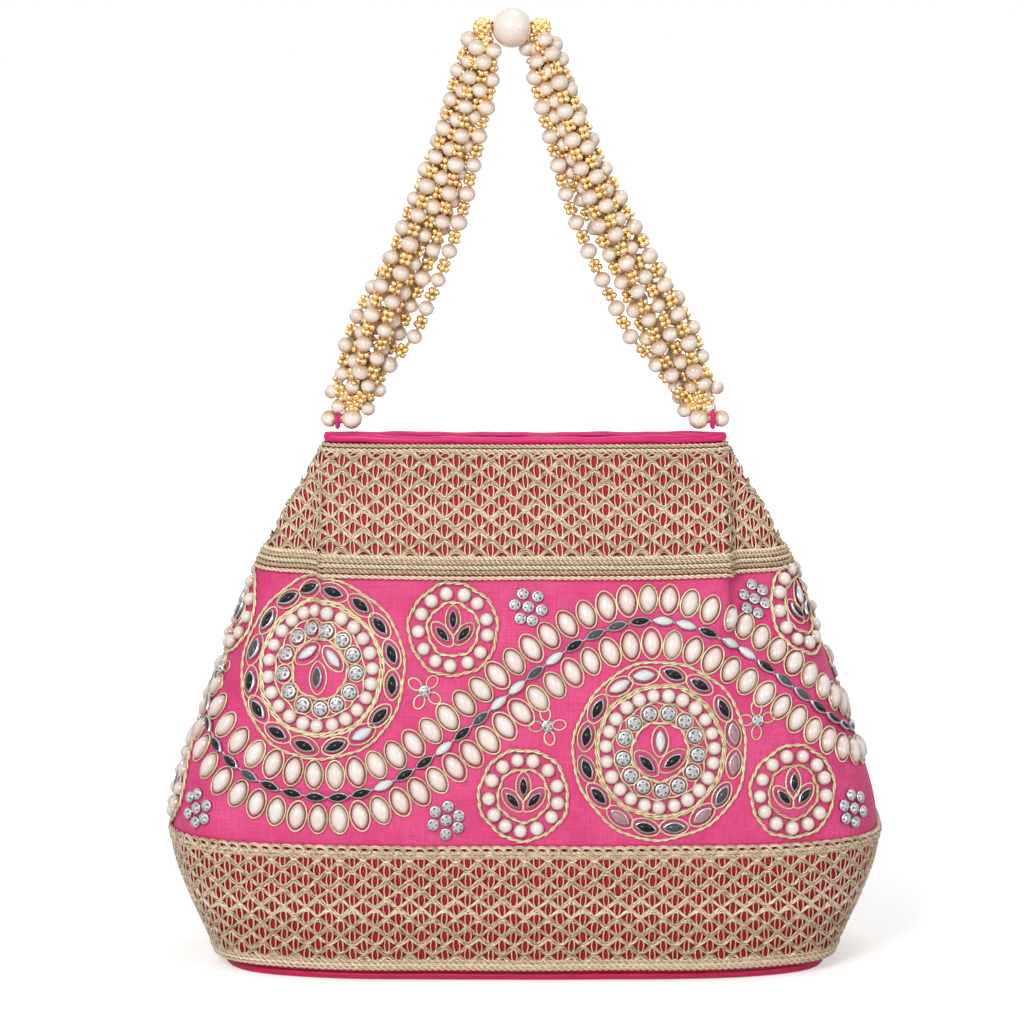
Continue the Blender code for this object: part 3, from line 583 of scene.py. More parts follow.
def ball_shape(stacks, segments):
    """Ball of radius one, its place one round the middle and nothing at the two poles, where the pearl
    finish paints shade and a reflection of the gold seeds.
    """
    rise = np.linspace(-math.pi / 2, math.pi / 2, stacks + 1)[1:-1, None]
    turn = np.linspace(0.0, 2 * math.pi, segments, endpoint=False)[None, :]
    x = np.cos(rise) * np.cos(turn)
    y = np.cos(rise) * np.sin(turn)
    z = np.broadcast_to(np.sin(rise), x.shape)
    points, faces = shell(np.stack([x, y, z], axis=-1), top=(0.0, 0.0, 1.0), bottom=(0.0, 0.0, -1.0))
    return points, faces, 1 - np.abs(points[:, 2])


def marquise_outline(segments):
    """Leaf outline between two parabolas that meet in points ahead and behind."""
    turn = np.linspace(0.0, 2 * math.pi, segments, endpoint=False)
    ahead = np.sin(turn)
    side = np.sign(np.cos(turn)) * (1 - ahead**2) ** 0.85
    return side, ahead


def mirror_shapes(segments=16, rim=0.74):
    """A marquise mirror in two shapes: its bevelled silver rim, and the flat glass within it."""
    side, ahead = marquise_outline(segments)
    flat = np.zeros(segments)
    rings = np.array(
        [
            np.stack([side, ahead, flat], axis=-1),
            np.stack([side, ahead, flat + 0.75], axis=-1),
            np.stack([side * rim, ahead * (rim + 0.08), flat + 0.96], axis=-1),
        ]
    )
    points, faces = shell(rings)
    glass = rings[2:] + np.array([[[0.0, 0.0, -0.02]], [[0.0, 0.0, 0.04]]])
    face_points, face_faces = shell(glass)
    rim_shape = (points, faces, np.ones(len(points)))
    return rim_shape, (face_points, face_faces, np.ones(len(face_points)))


def stone_shapes(segments=10):
    """A round cut stone in two shapes: its metal cup, and a crown of facets whose alternating tones are
    painted glints and painted dark reflections.
    """
    turn = np.linspace(0.0, 2 * math.pi, segments, endpoint=False)
    circle = np.stack([np.cos(turn), np.sin(turn), np.zeros(segments)], axis=-1)
    lift = np.array([0.0, 0.0, 1.0])
    cup = np.array([circle, circle + 0.55 * lift, 0.84 * circle + 0.6 * lift])
    cup_points, cup_faces = shell(cup)
    girdle = 0.84 * circle + 0.5 * lift
    table = 0.42 * (circle + np.roll(circle, -1, axis=0)) / 2 * 1.05 + 0.95 * lift
    corners = []
    tone = []
    for k in range(segments):
        nxt = (k + 1) % segments
        last = (k - 1) % segments
        corners += [girdle[k], girdle[nxt], table[k]]
        corners += [girdle[k], table[k], table[last]]
        corners += [table[last], table[k], lift]
        # Facet tones: painted glints and painted dark reflections
        tone += [0.15 if k % 2 else 0.8] * 3
        tone += [0.95 if k % 3 else 0.3] * 3
        tone += [0.7 if k % 2 else 0.45] * 3
    back = girdle[::-1] - 0.1 * lift
    points = np.concatenate([np.array(corners), back])
    faces = [np.arange(len(corners)).reshape(-1, 3), len(corners) + np.arange(segments)[None]]
    place = np.concatenate([tone, np.zeros(segments)])
    return (cup_points, cup_faces, np.ones(len(cup_points))), (points, faces, place)


ROUND_PEARL = dome_shape(4, 12)
OVAL_PEARL = dome_shape(4, 14, pinch=0.16)
STRAND_PEARL = ball_shape(7, 10)
SEED_BEAD = ball_shape(5, 7)
MIRROR_RIM, MIRROR_GLASS = mirror_shapes()
STONE_CUP, STONE_CROWN = stone_shapes()


def linear(code):
    """Linear colour with alpha from an sRGB hex code."""
    parts = np.array([int(code[k : k + 2], 16) / 255 for k in (0, 2, 4)])
    low = parts / 12.92
    high = ((parts + 0.055) / 1.055) ** 2.4
    return (*np.where(parts <= 0.04045, low, high).tolist(), 1.0)


def node(tree, kind, inputs=None, **settings):
    """Adds a node, sets its properties, and sets or links its inputs."""
    made = tree.nodes.new(kind)
    for key, value in settings.items():
        setattr(made, key, value)
    for key, value in (inputs or {}).items():
        if isinstance(value, bpy.types.NodeSocket):
            tree.links.new(value, made.inputs[key])
        else:
            made.inputs[key].default_value = value
    return made


def darker(code, share):
    """Linear colour of a hex code made darker by a share."""
    return (*[share * c for c in linear(code)[:3]], 1.0)


def new_finish(name, **inputs):
    """A Principled material with its plain inputs set; returns the material, its tree and shader."""
    made = bpy.data.materials.new(name)
    made.use_nodes = True
    tree = made.node_tree
    shader = tree.nodes["Principled BSDF"]
    for key, value in inputs.items():
        shader.inputs[key.replace("_", " ")].default_value = value
    return made, tree, shader


def attribute(tree, name):
    """The piece's own value of that name, from 0 to 1."""
    return node(tree, "ShaderNodeAttribute", attribute_name=name).outputs["Fac"]


def mixed(tree, share, low, high):
    """Colour between two, each a hex code or a socket, by a share."""
    low, high = [linear(c) if isinstance(c, str) else c for c in (low, high)]
    made = node(tree, "ShaderNodeMix", data_type="RGBA")
    for key, value in (("Factor", share), ("A", low), ("B", high)):
        socket = next(i for i in made.inputs if i.name == key and i.enabled)
        if isinstance(value, bpy.types.NodeSocket):
            tree.links.new(value, socket)
        else:
            socket.default_value = value
    return next(o for o in made.outputs if o.enabled)


def ranged(tree, value, low, high, to_low=0.0, to_high=1.0):
    """The value's place between low and high, set between two others."""
    inputs = {"Value": value, "From Min": low, "From Max": high, "To Min": to_low, "To Max": to_high}
    return node(tree, "ShaderNodeMapRange", inputs).outputs["Result"]


def bumped(tree, shader, height, distance, strength=1.0):
    """Bump of a height field, its full depth given in metres."""
    inputs = {"Height": height, "Distance": distance, "Strength": strength}
    tree.links.new(node(tree, "ShaderNodeBump", inputs).outputs["Normal"], shader.inputs["Normal"])


def grain(tree, scale):
    """Fine even noise through the piece."""
    where = node(tree, "ShaderNodeTexCoord").outputs["Object"]
    settings = {"Vector": where, "Scale": scale, "Detail": 2.0}
    return node(tree, "ShaderNodeTexNoise", settings).outputs["Fac"]


def slub_cloth(tree, scale_s, scale_z):
    """Uneven threads of a hand-woven silk: noise drawn out along the weft, on the cloth's own map."""
    where = node(tree, "ShaderNodeUVMap", uv_map="Cloth").outputs["UV"]
    inputs = {"Vector": where, "Scale": (scale_s, scale_z, 1.0)}
    drawn = node(tree, "ShaderNodeMapping", inputs).outputs["Vector"]
    settings = {"Vector": drawn, "Scale": 1.0, "Detail": 3.0, "Roughness": 0.6}
    return node(tree, "ShaderNodeTexNoise", settings).outputs["Fac"]


def silk_finish():
    """Dupion silk: a soft sheen over uneven weft threads, a deeper crimson where the lace lies over it,
    in part painted shade of the lace.
    """
    made, tree, shader = new_finish("dupion silk", Roughness=0.62, Sheen_Weight=0.25)
    shader.inputs["Sheen Roughness"].default_value = 0.4
    shader.inputs["Sheen Tint"].default_value = linear(SHEEN_PINK)
    weft = slub_cloth(tree, 180.0, 1900.0)
    warp = slub_cloth(tree, 1500.0, 160.0)
    cloud = slub_cloth(tree, 45.0, 60.0)
    weave = node(tree, "ShaderNodeMath", {0: weft, 1: warp}, operation="ADD").outputs[0]
    field = mixed(tree, ranged(tree, cloud, 0.3, 0.75), SILK_PINK, SILK_LIGHT)
    field = mixed(tree, ranged(tree, weave, 0.8, 1.25, 0.0, 0.6), field, SILK_SHADE)
    # Painted shade: the tint marks the silk under the lace, which turns a deeper crimson
    color = mixed(tree, attribute(tree, "tint"), field, SILK_UNDER_LACE_AND_SHADE)
    tree.links.new(color, shader.inputs["Base Color"])
    bumped(tree, shader, weave, 0.0002, 0.9)
    return made


def satin_finish(name, code):
    """Satin: a close smooth weave with a bright soft gloss, slightly uneven along its length."""
    made, tree, shader = new_finish(name, Roughness=0.42, Sheen_Weight=0.15)
    where = node(tree, "ShaderNodeTexCoord").outputs["Object"]
    drawn = node(tree, "ShaderNodeMapping", {"Vector": where, "Scale": (160.0, 900.0, 1200.0)})
    settings = {"Vector": drawn.outputs["Vector"], "Scale": 1.0, "Detail": 3.0}
    rib = node(tree, "ShaderNodeTexNoise", settings).outputs["Fac"]
    color = mixed(tree, ranged(tree, rib, 0.35, 0.7), code, darker(code, 0.72))
    tree.links.new(color, shader.inputs["Base Color"])
    bumped(tree, shader, rib, 0.0002, 0.6)
    return made


def thread_finish(name, dark, light, metallic, roughness):
    """Metal thread wound on a core: strands differ in tone, and fine turns catch the light."""
    made, tree, shader = new_finish(name, Metallic=metallic, Roughness=roughness)
    turns = grain(tree, 900.0)
    tone = node(tree, "ShaderNodeMath", {0: attribute(tree, "tint"), 1: turns}, operation="ADD")
    share = ranged(tree, tone.outputs[0], 0.45, 1.55)
    tree.links.new(mixed(tree, share, dark, light), shader.inputs["Base Color"])
    bumped(tree, shader, turns, 0.00015, 0.5)
    return made


def pearl_finish(name, white, rim):
    """Pearl lacquer: creamy white under a clear gloss, with painted shade: a darker warm colour low
    down, where the place is small.
    """
    made, tree, shader = new_finish(name, Roughness=0.34, Coat_Weight=0.9)
    shader.inputs["Specular IOR Level"].default_value = 0.25
    shader.inputs["Coat Roughness"].default_value = 0.17
    shader.inputs["Coat IOR"].default_value = 1.85
    shader.inputs["Coat Tint"].default_value = linear(PEARL_COAT)
    tint = ranged(tree, attribute(tree, "tint"), 0.0, 1.0, 0.0, 0.6)
    body = mixed(tree, tint, white, PEARL_BLUSH)
    # Painted shade: the rim colour takes over where the place is low, at the foot of a dome, low on the
    # large pearl and at the ends of a strung pearl
    low = ranged(tree, attribute(tree, "place"), 0.05, 0.85, 1.0, 0.0)
    tree.links.new(mixed(tree, low, body, rim), shader.inputs["Base Color"])
    return made


def metal_finish(name, code, roughness):
    """Plated metal with slight tarnish in patches."""
    made, tree, shader = new_finish(name, Metallic=1.0, Roughness=roughness)
    patch = grain(tree, 260.0)
    color = mixed(tree, ranged(tree, patch, 0.4, 0.75), code, darker(code, 0.75))
    tree.links.new(color, shader.inputs["Base Color"])
    rough = ranged(tree, patch, 0.3, 0.7, roughness, roughness + 0.12)
    tree.links.new(rough, shader.inputs["Roughness"])
    return made


def mirror_finish():
    """Silvered glass chips with painted reflections: most painted black, as if they reflect the dark,
    some painted smoky grey or pink, and some painted white, as if they catch the light.
    """
    made, tree, shader = new_finish("mirror glass", Roughness=0.05)
    shader.inputs["Specular IOR Level"].default_value = 0.35
    # The tint picks each mirror's painted reflection
    ramp = node(tree, "ShaderNodeValToRGB", {"Fac": attribute(tree, "tint")})
    steps = ramp.color_ramp
    steps.interpolation = "CONSTANT"
    steps.elements[0].color = linear(MIRROR_DARK_REFLECTION)
    steps.elements[1].position = 0.5
    steps.elements[1].color = linear(MIRROR_GREY_REFLECTION)
    steps.elements.new(0.64).color = linear(MIRROR_PINK_REFLECTION)
    steps.elements.new(0.74).color = linear(MIRROR_BRIGHT_REFLECTION)
    tree.links.new(ramp.outputs["Color"], shader.inputs["Base Color"])
    return made


def stone_finish():
    """Foil-backed cut glass: facets painted bright and dark as painted glints and reflections, under a
    sharp gloss.
    """
    made, tree, shader = new_finish("cut glass", Roughness=0.04, Coat_Weight=0.6)
    ramp = node(tree, "ShaderNodeValToRGB", {"Fac": attribute(tree, "place")})
    ramp.color_ramp.elements[0].color = linear(STONE_DARK_REFLECTION)
    ramp.color_ramp.elements[1].color = linear(STONE_GLINT)
    tree.links.new(ramp.outputs["Color"], shader.inputs["Base Color"])
    return made


def plain_cloth_finish(name, code):
    """Plain woven lining: matt, with a fine even grain."""
    made, tree, shader = new_finish(name, Roughness=0.75, Sheen_Weight=0.1)
    weave = grain(tree, 1400.0)
    tree.links.new(mixed(tree, weave, code, darker(code, 0.75)), shader.inputs["Base Color"])
    bumped(tree, shader, weave, 0.0002, 0.6)
    return made


SILK = silk_finish()
BINDING_SATIN = satin_finish("binding satin", BINDING_PINK)
BASE_SATIN = satin_finish("base satin", BASE_PINK)
LINING_CLOTH = plain_cloth_finish("lining cotton", LINING_PINK)
BOARD = plain_cloth_finish("grey board", BOARD_GREY)
LACE_THREAD = thread_finish("zari lace thread", LACE_DARK, LACE_LIGHT, 0.2, 0.36)
GOLD_CORD = thread_finish("gold couching cord", WIRE_SHADE, WIRE_GOLD, 0.45, 0.4)
PEARL = pearl_finish("half round pearl", PEARL_WHITE, PEARL_EDGE_SHADE)
STRING_PEARL = pearl_finish("strung pearl", STRING_WHITE, STRING_SHADE_AND_REFLECTION)
SEED_METAL = metal_finish("gilt seed bead", SEED_GOLD, 0.2)
SILVER_METAL = metal_finish("silver rim", SILVER, 0.2)
STEEL = metal_finish("plated steel", STEEL_GREY, 0.28)
MIRROR = mirror_finish()
STONE = stone_finish()
ORNAMENT_FINISHES = (GOLD_CORD, PEARL, SILVER_METAL, MIRROR, STONE)
CORD_FINISH, PEARL_FINISH, RIM_FINISH, MIRROR_FINISH, STONE_FINISH = range(5)


def column_shares(z):
    """Columns of the silk as distances: even low down, and gathered at the pleats above."""
    even = np.linspace(0.0, 1.0, 71)
    pleat = (fold_place(z) / half_length(z))[:, None]
    face = np.linspace(0.0, 1.0, 45)[None, :] * pleat
    gusset = pleat + (1 - pleat) * (np.linspace(0.0, 1.0, 27)[1:] ** 1.5)[None, :]
    weight = smooth_step(z, BELLY_HEIGHT, FOLD_FULL_HEIGHT)[:, None]
    half = even * (1 - weight) + np.concatenate([face, gusset], axis=1) * weight
    half = half * (half_length(z)[:, None] - 0.00015)
    return np.concatenate([-half[:, :0:-1], half], axis=1)


def silk_panel():
    """Silk over foam: the outer cloth and its back, joined round the edges; deeper crimson below the
    lace, in part painted shade of the lace.
    """
    heights = np.linspace(BASE_THICKNESS + 0.0003, MOUTH_HEIGHT, 84)
    s = column_shares(heights)
    z = np.broadcast_to(heights[:, None], s.shape)
    outer = on_cloth(s, z, 0.0)
    inner = on_cloth(s, z, -PANEL_THICKNESS)
    rows, columns = s.shape
    count = rows * columns
    index = np.arange(count).reshape(rows, columns)
    border = np.concatenate([index[0], index[1:, -1], index[-1, -2::-1], index[-2:0:-1, 0]])
    after = np.roll(border, -1)
    rim = np.stack([after, border, border + count, after + count], axis=-1)
    front = grid_faces(rows, columns)
    faces = [front, front[:, ::-1] + count, rim]
    # Mask of the silk under the lace bands, which the finish paints deeper crimson, in part as painted
    # shade of the lace
    under = smooth_step(-z, -0.0465, -0.0445) + smooth_step(z, 0.1275, 0.1290)
    points = np.concatenate([outer.reshape(-1, 3), inner.reshape(-1, 3)])
    places = np.tile(np.stack([s.ravel(), z.ravel()], axis=-1), (2, 1))
    return [part(points, faces, 0, np.tile(under.ravel(), 2))], places


def ring_round(z, raised, level, folded=True, pleat=0.0):
    """Closed outline of the bag at z: the front face from left to right, then the rear face."""
    half = half_length(z)
    s = np.linspace(-1.0, 1.0, RING_COLUMNS + 1)[:-1] * half
    aside = smooth_step(np.abs(s), fold_place(z) / 2, fold_place(z))
    front = on_cloth(s, np.full(RING_COLUMNS, z), raised - pleat * aside, folded)
    front[:, 2] = level
    return np.concatenate([front, front * (-1.0, -1.0, 1.0)])


def lining_parts():
    """Lining: a thin cup that hangs clear of the pleats, with a flat floor over the board."""
    outside = -(PANEL_THICKNESS + LINING_CLEARANCE)
    heights = np.linspace(LINING_FLOOR, MOUTH_HEIGHT - LINING_DROP, 16)
    deep = np.interp(heights, HEIGHTS, PLEAT_DEPTH)
    outer = [ring_round(z, outside, z, folded=False, pleat=p) for z, p in zip(heights, deep)]
    inside = outside - LINING_THICKNESS
    inner = [ring_round(z, inside, z, folded=False, pleat=p) for z, p in zip(heights, deep)]
    inner[0][:, 2] += LINING_THICKNESS
    points, faces = shell(np.array(outer + inner[::-1]))
    return [part(points, faces)]


def base_parts():
    """Silk-covered base: its lower edge rolls under in a quarter round."""
    roll = np.linspace(0.0, math.pi / 2, 5)
    rings = []
    for a in roll:
        under = BASE_INSET + BASE_ROUNDING * (1 - math.sin(a))
        rings.append(ring_round(0.0, -under, BASE_ROUNDING * (1 - math.cos(a))))
    rings.append(ring_round(0.0, -BASE_INSET, BASE_THICKNESS))
    points, faces = shell(np.array(rings))
    return [part(points, faces)]


def binding_parts():
    """Binding of the lip: a rounded strip carried along the rim, a little uneven as sewn by hand."""
    end = half_length(RIM_HEIGHT) - 0.0002
    s = np.linspace(-end, end, 150)
    middle = on_cloth(s, RIM_HEIGHT, BINDING_OVERLAP - BINDING_THICKNESS / 2, folded=False)
    outward = unit(on_cloth(s, RIM_HEIGHT, 0.004, folded=False) - middle)
    outward[:, 2] = 0.0
    outward = unit(outward)
    turn = np.linspace(0.0, 2 * math.pi, 14, endpoint=False)
    square = (np.abs(np.cos(turn)) ** 3 + np.abs(np.sin(turn)) ** 3) ** (-1 / 3)
    across = BINDING_THICKNESS / 2 * square * np.cos(turn)
    sag = 0.0004 + 0.0008 * (1 - (s / end) ** 2)
    height = (RIM_HEIGHT - sag - MOUTH_HEIGHT - 0.0003) / 2
    level = (RIM_HEIGHT - sag + MOUTH_HEIGHT + 0.0003) / 2
    sway = 0.00012 * np.sin(s / 0.0047) + 0.00008 * np.sin(s / 0.0021 + 1)
    points = middle[:, None, :] + outward[:, None, :] * across[None, :, None]
    points[..., 2] = (level + sway)[:, None] + height[:, None] * (square * np.sin(turn))[None, :]
    points, faces = shell(points[::-1])
    return [part(points, faces)]


def along_band(z, step):
    """Distances along a band from seam to seam, one row for each height, evenly stepped."""
    half = half_length(np.asarray(z))[:, None] - 0.0003
    steps = int(round(2 * half.max() / step)) + 1
    return np.linspace(-1.0, 1.0, steps)[None, :] * half


def twisted_cords(heights, reach, radius, twist, tones, lift=0.0):
    """Two-ply cords: each ply circles the cord's line, half a turn from the other."""
    z = np.repeat(np.asarray(heights, dtype=float), 2)
    ply = np.tile([0.0, math.pi], len(heights))
    s = along_band(z, twist / 6)
    turn = 2 * math.pi * s / twist + ply[:, None] + 1.7 * np.repeat(np.arange(len(heights)), 2)[:, None]
    raised = radius + reach + lift + reach * np.sin(turn)
    tint = np.repeat(np.asarray(tones, dtype=float), 2)
    return cloth_threads(s, z[:, None] + reach * np.cos(turn), raised, radius, 4, tint=tint)


def net_cords(low, rows, row_height, random):
    """Cords of the net: each is four threads that wave up and down, opposite to the next cord."""
    cord = np.repeat(np.arange(rows + 1), 4)
    thread = np.tile([-1.5, -0.5, 0.5, 1.5], rows + 1)
    z = low + cord * row_height
    s = along_band(z, NET_PITCH / 8)
    wave = np.cos(2 * math.pi * s / NET_PITCH + math.pi * cord[:, None])
    spread = CORD_SPREAD * thread[:, None] * (0.8 + 0.2 * wave)
    drift = 0.00022 * np.sin(s / 0.0031 + 2.4 * cord[:, None] + 1.1 * thread[:, None])
    cross = np.sin(4 * math.pi * s / NET_PITCH + 2.1 * thread[:, None] + cord[:, None])
    raised = NET_THREAD + 0.00042 + 0.0003 * cross
    height = z[:, None] + NET_WAVE * wave + spread + drift
    tint = random.uniform(0.15, 1.0, len(cord))
    return cloth_threads(s, height, raised, NET_THREAD, 3, tint=tint)


def net_eyes(low, rows, row_height, random):
    """Pairs of threads that stand across each eye of the net and bow apart at its middle."""
    s, z = [], []
    for row in range(rows):
        middle = low + (row + 0.5) * row_height
        half = half_length(middle) - 0.0015
        first = 0.5 * NET_PITCH if row % 2 == 0 else 0.0
        many = int(half / NET_PITCH) + 1
        place = first + np.arange(-many, many) * NET_PITCH
        place = place[np.abs(place) < half]
        s.append(place)
        z.append(np.full(len(place), middle))
    s = np.repeat(np.concatenate(s), 2)
    z = np.repeat(np.concatenate(z), 2)
    lean = np.tile([-1.0, 1.0], len(s) // 2)
    share = np.linspace(-1.0, 1.0, 6)[None, :]
    reach = row_height / 2 + NET_WAVE + 0.0004
    bow = EYE_BOW + random.uniform(-0.00015, 0.0003, len(s))
    skew = np.repeat(random.uniform(-0.0003, 0.0003, len(s) // 2), 2)
    across = s[:, None] + lean[:, None] * bow[:, None] * (1 - share**2) + skew[:, None] * share
    up = z[:, None] + reach * share
    raised = 0.0005 + 0.0004 * (1 - share**2) + np.zeros_like(across)
    tint = random.uniform(0.6, 1.0, len(s))
    return cloth_threads(across, up, raised, EYE_THREAD, 3, tint=tint)


def scallops(low, random):
    """Row of overlapping rope loops that stand on the lower band's top edge."""
    half = float(half_length(low)) - 0.002
    place = np.arange(-half, half, SCALLOP_PITCH)
    turn = np.linspace(-0.35, math.pi + 0.35, 12)[None, :]
    across = place[:, None] + SCALLOP_HALF_WIDTH * np.cos(turn)
    up = low + SCALLOP_HEIGHT * np.sin(turn)
    parts = []
    for lift, grow in ((0.0006, 0.0), (0.0011, 0.0005)):
        raised = lift + 0.0004 * np.cos(turn) + np.zeros_like(across)
        share = 1 - grow / SCALLOP_HALF_WIDTH
        wide = place[:, None] + (across - place[:, None]) * share
        tall = low + (up - low) * share
        tint = random.uniform(0.3, 1.0, len(place))
        parts.append(cloth_threads(wide, tall, raised, 0.00036, 3, tint=tint))
    return parts


def arcs(low, random):
    """Row of low arcs that join a band's braid to its net."""
    half = float(half_length(low)) - 0.003
    place = np.arange(-half, half, NET_PITCH / 2)
    share = np.linspace(-1.0, 1.0, 7)[None, :]
    across = place[:, None] + 0.0021 * share
    up = low + 0.0016 * (1 - share**2) + np.zeros_like(across)
    tint = random.uniform(0.4, 1.0, len(place))
    return cloth_threads(across, up, 0.0009 + 0 * across, 0.0003, 3, tint=tint)


def upper_lace():
    """Band round the mouth: two rows of twisted braid, the net, a dense braid and a twisted cord."""
    random = np.random.default_rng(11)
    low, high = UPPER_LACE
    net = (low + UPPER_NET_LIFT, UPPER_NET_ROWS, UPPER_NET_ROW, random)
    top = [high - 0.0007, high - 0.0022]
    dense = [low + 0.0022, low + 0.0037, low + 0.0052, low + 0.0065]
    return [
        net_cords(*net),
        net_eyes(*net),
        twisted_cords(top, ROPE_REACH, ROPE_PLY, CORD_TWIST, [0.5, 0.75]),
        twisted_cords([low + 0.0006], 0.00036, 0.0004, 0.0042, [0.8], lift=0.0004),
        twisted_cords(dense, DENSE_PLY, DENSE_PLY, DENSE_TWIST, [0.35, 0.8, 0.5, 0.9]),
        arcs(high - 0.0045, random),
    ]


def lower_lace():
    """Band round the base: rope loops on top, a dense braid, the net, and two wavy rope rows."""
    random = np.random.default_rng(12)
    low, high = LOWER_LACE
    net = (low + LOWER_NET_LIFT, LOWER_NET_ROWS, LOWER_NET_ROW, random)
    top = [high - 0.0025, high - 0.0038]
    ropes = [low + 0.0017, low + 0.0029, low + 0.0041]
    return [
        net_cords(*net),
        net_eyes(*net),
        *scallops(high - 0.0021, random),
        twisted_cords(top, ROPE_REACH, ROPE_PLY, 0.0033, [0.7, 0.4]),
        twisted_cords(ropes, ROPE_PLY, ROPE_PLY, 0.0040, [0.6, 0.9, 0.5]),
    ]


def loops(many, size, random, sharp):
    """Uneven ovals, drawn to points as sharp grows: steps aside and ahead, and their tints."""
    wobble = 1 + random.uniform(-0.05, 0.06, (many, 1))
    turn = np.linspace(0.0, 2 * math.pi, 22, endpoint=False)[None, :]
    aside = wobble * size[0] * np.sign(np.cos(turn)) * np.abs(np.cos(turn)) ** sharp
    return aside, wobble * size[1] * np.sin(turn), random.uniform(0.4, 1.0, many)


def wires(centre, ahead, size, random, sharp=1.0):
    """Gold wire bent round many ornaments, laid on the cloth."""
    aside, forward, tint = loops(len(centre), size, random, sharp)
    s = centre[:, :1] + forward * ahead[:, :1] + aside * ahead[:, 1:]
    z = centre[:, 1:] + forward * ahead[:, 1:] - aside * ahead[:, :1]
    return cloth_threads(s, z, WIRE, WIRE, 4, closed=True, finish=CORD_FINISH, tint=tint)


def flat_wires(frames, size, random, sharp=1.0):
    """Gold wire bent round many ornaments, each loop flat in its ornament's own frame."""
    at, side, ahead, out = [v[:, None, :] for v in frames]
    aside, forward, tint = loops(len(at), size, random, sharp)
    path = at + side * aside[..., None] + ahead * forward[..., None] + out * 1.2 * WIRE
    return tubes(path, out, WIRE, 4, closed=True, finish=CORD_FINISH, tint=tint)


def ring_cord(centre, radius, random, plies=2, thick=THIN_CORD):
    """Couched cord in a circle: plies that twist about the circle's line."""
    steps = int(2 * math.pi * radius / 0.0009)
    turn = np.linspace(0.0, 2 * math.pi, steps, endpoint=False)[None, :]
    twist = round(2 * math.pi * radius / 0.006) * turn + 2 * math.pi * np.arange(plies)[:, None] / plies
    sway = 0.00025 * np.sin(5 * turn + random.uniform(0, 6)) + 0.00018 * np.sin(11 * turn)
    reach = radius + sway + 0.8 * thick * np.cos(twist)
    s = centre[0] + reach * np.cos(turn)
    z = centre[1] + reach * np.sin(turn)
    raised = 1.6 * thick + 0.7 * thick * np.sin(twist)
    tint = random.uniform(0.4, 0.95, plies)
    return cloth_threads(s, z, raised, thick, 4, closed=True, finish=CORD_FINISH, tint=tint)


def around(centre, radius, count, start, random, jitter):
    """Places round a circle, evenly but for a small shift each, with the directions along it."""
    turn = start + 2 * math.pi * np.arange(count) / count + random.uniform(-jitter, jitter, count)
    places = np.stack([centre[0] + radius * np.cos(turn), centre[1] + radius * np.sin(turn)], axis=-1)
    return places, np.stack([-np.sin(turn), np.cos(turn)], axis=-1)


def tones(glass):
    """Tints of mirrors whose glass is given by letters, each a painted reflection."""
    return np.array([MIRROR_REFLECTION_TONES[letter] for letter in glass])


def mirrors(places, ahead, size, tint):
    """Mirrors on the cloth with their rims."""
    frames = cloth_frames(places[:, 0], places[:, 1], 0.0, ahead[:, 0], ahead[:, 1])
    size = (*size, MIRROR_HEIGHT)
    rim = scatter(MIRROR_RIM, frames, size, RIM_FINISH)
    return [rim, scatter(MIRROR_GLASS, frames, size, MIRROR_FINISH, tint)]


def round_pearls(places, random):
    """Half round pearls glued on the cloth, not quite alike."""
    level = np.zeros(len(places))
    frames = cloth_frames(places[:, 0], places[:, 1], 0.0, level, level + 1)
    grow = random.uniform(0.95, 1.04, (len(places), 1))
    size = ROUND_PEARL_RADIUS * grow * np.array([[1.0, 1.0, 1.12]])
    return scatter(ROUND_PEARL, frames, size, PEARL_FINISH, random.uniform(0, 1, len(places)))


def stones(places, random, radius=STONE_RADIUS):
    """Cut stones in their cups, each turned its own way."""
    turn = random.uniform(0, 2 * math.pi, len(places))
    frames = cloth_frames(places[:, 0], places[:, 1], 0.0, np.cos(turn), np.sin(turn))
    size = (radius, radius, 1.1 * radius)
    cups = scatter(STONE_CUP, frames, size, RIM_FINISH)
    return [cups, scatter(STONE_CROWN, frames, size, STONE_FINISH)]


def leaf_mirrors(centre, leaves, glass, random, half_ahead):
    """Mirrors in the middle of a medallion, each in its wire; a leaf is a place in mm and an angle."""
    leaves = np.array(leaves)
    turn = np.radians(leaves[:, 2])
    ahead = np.stack([np.cos(turn), np.sin(turn)], axis=-1)
    places = np.asarray(centre) + leaves[:, :2] * MM
    parts = mirrors(places, ahead, (0.5 * half_ahead, 1.1 * half_ahead), tones(glass))
    parts.append(wires(places, ahead, (0.80 * half_ahead, half_ahead + 0.0015), random, sharp=1.2))
    return parts


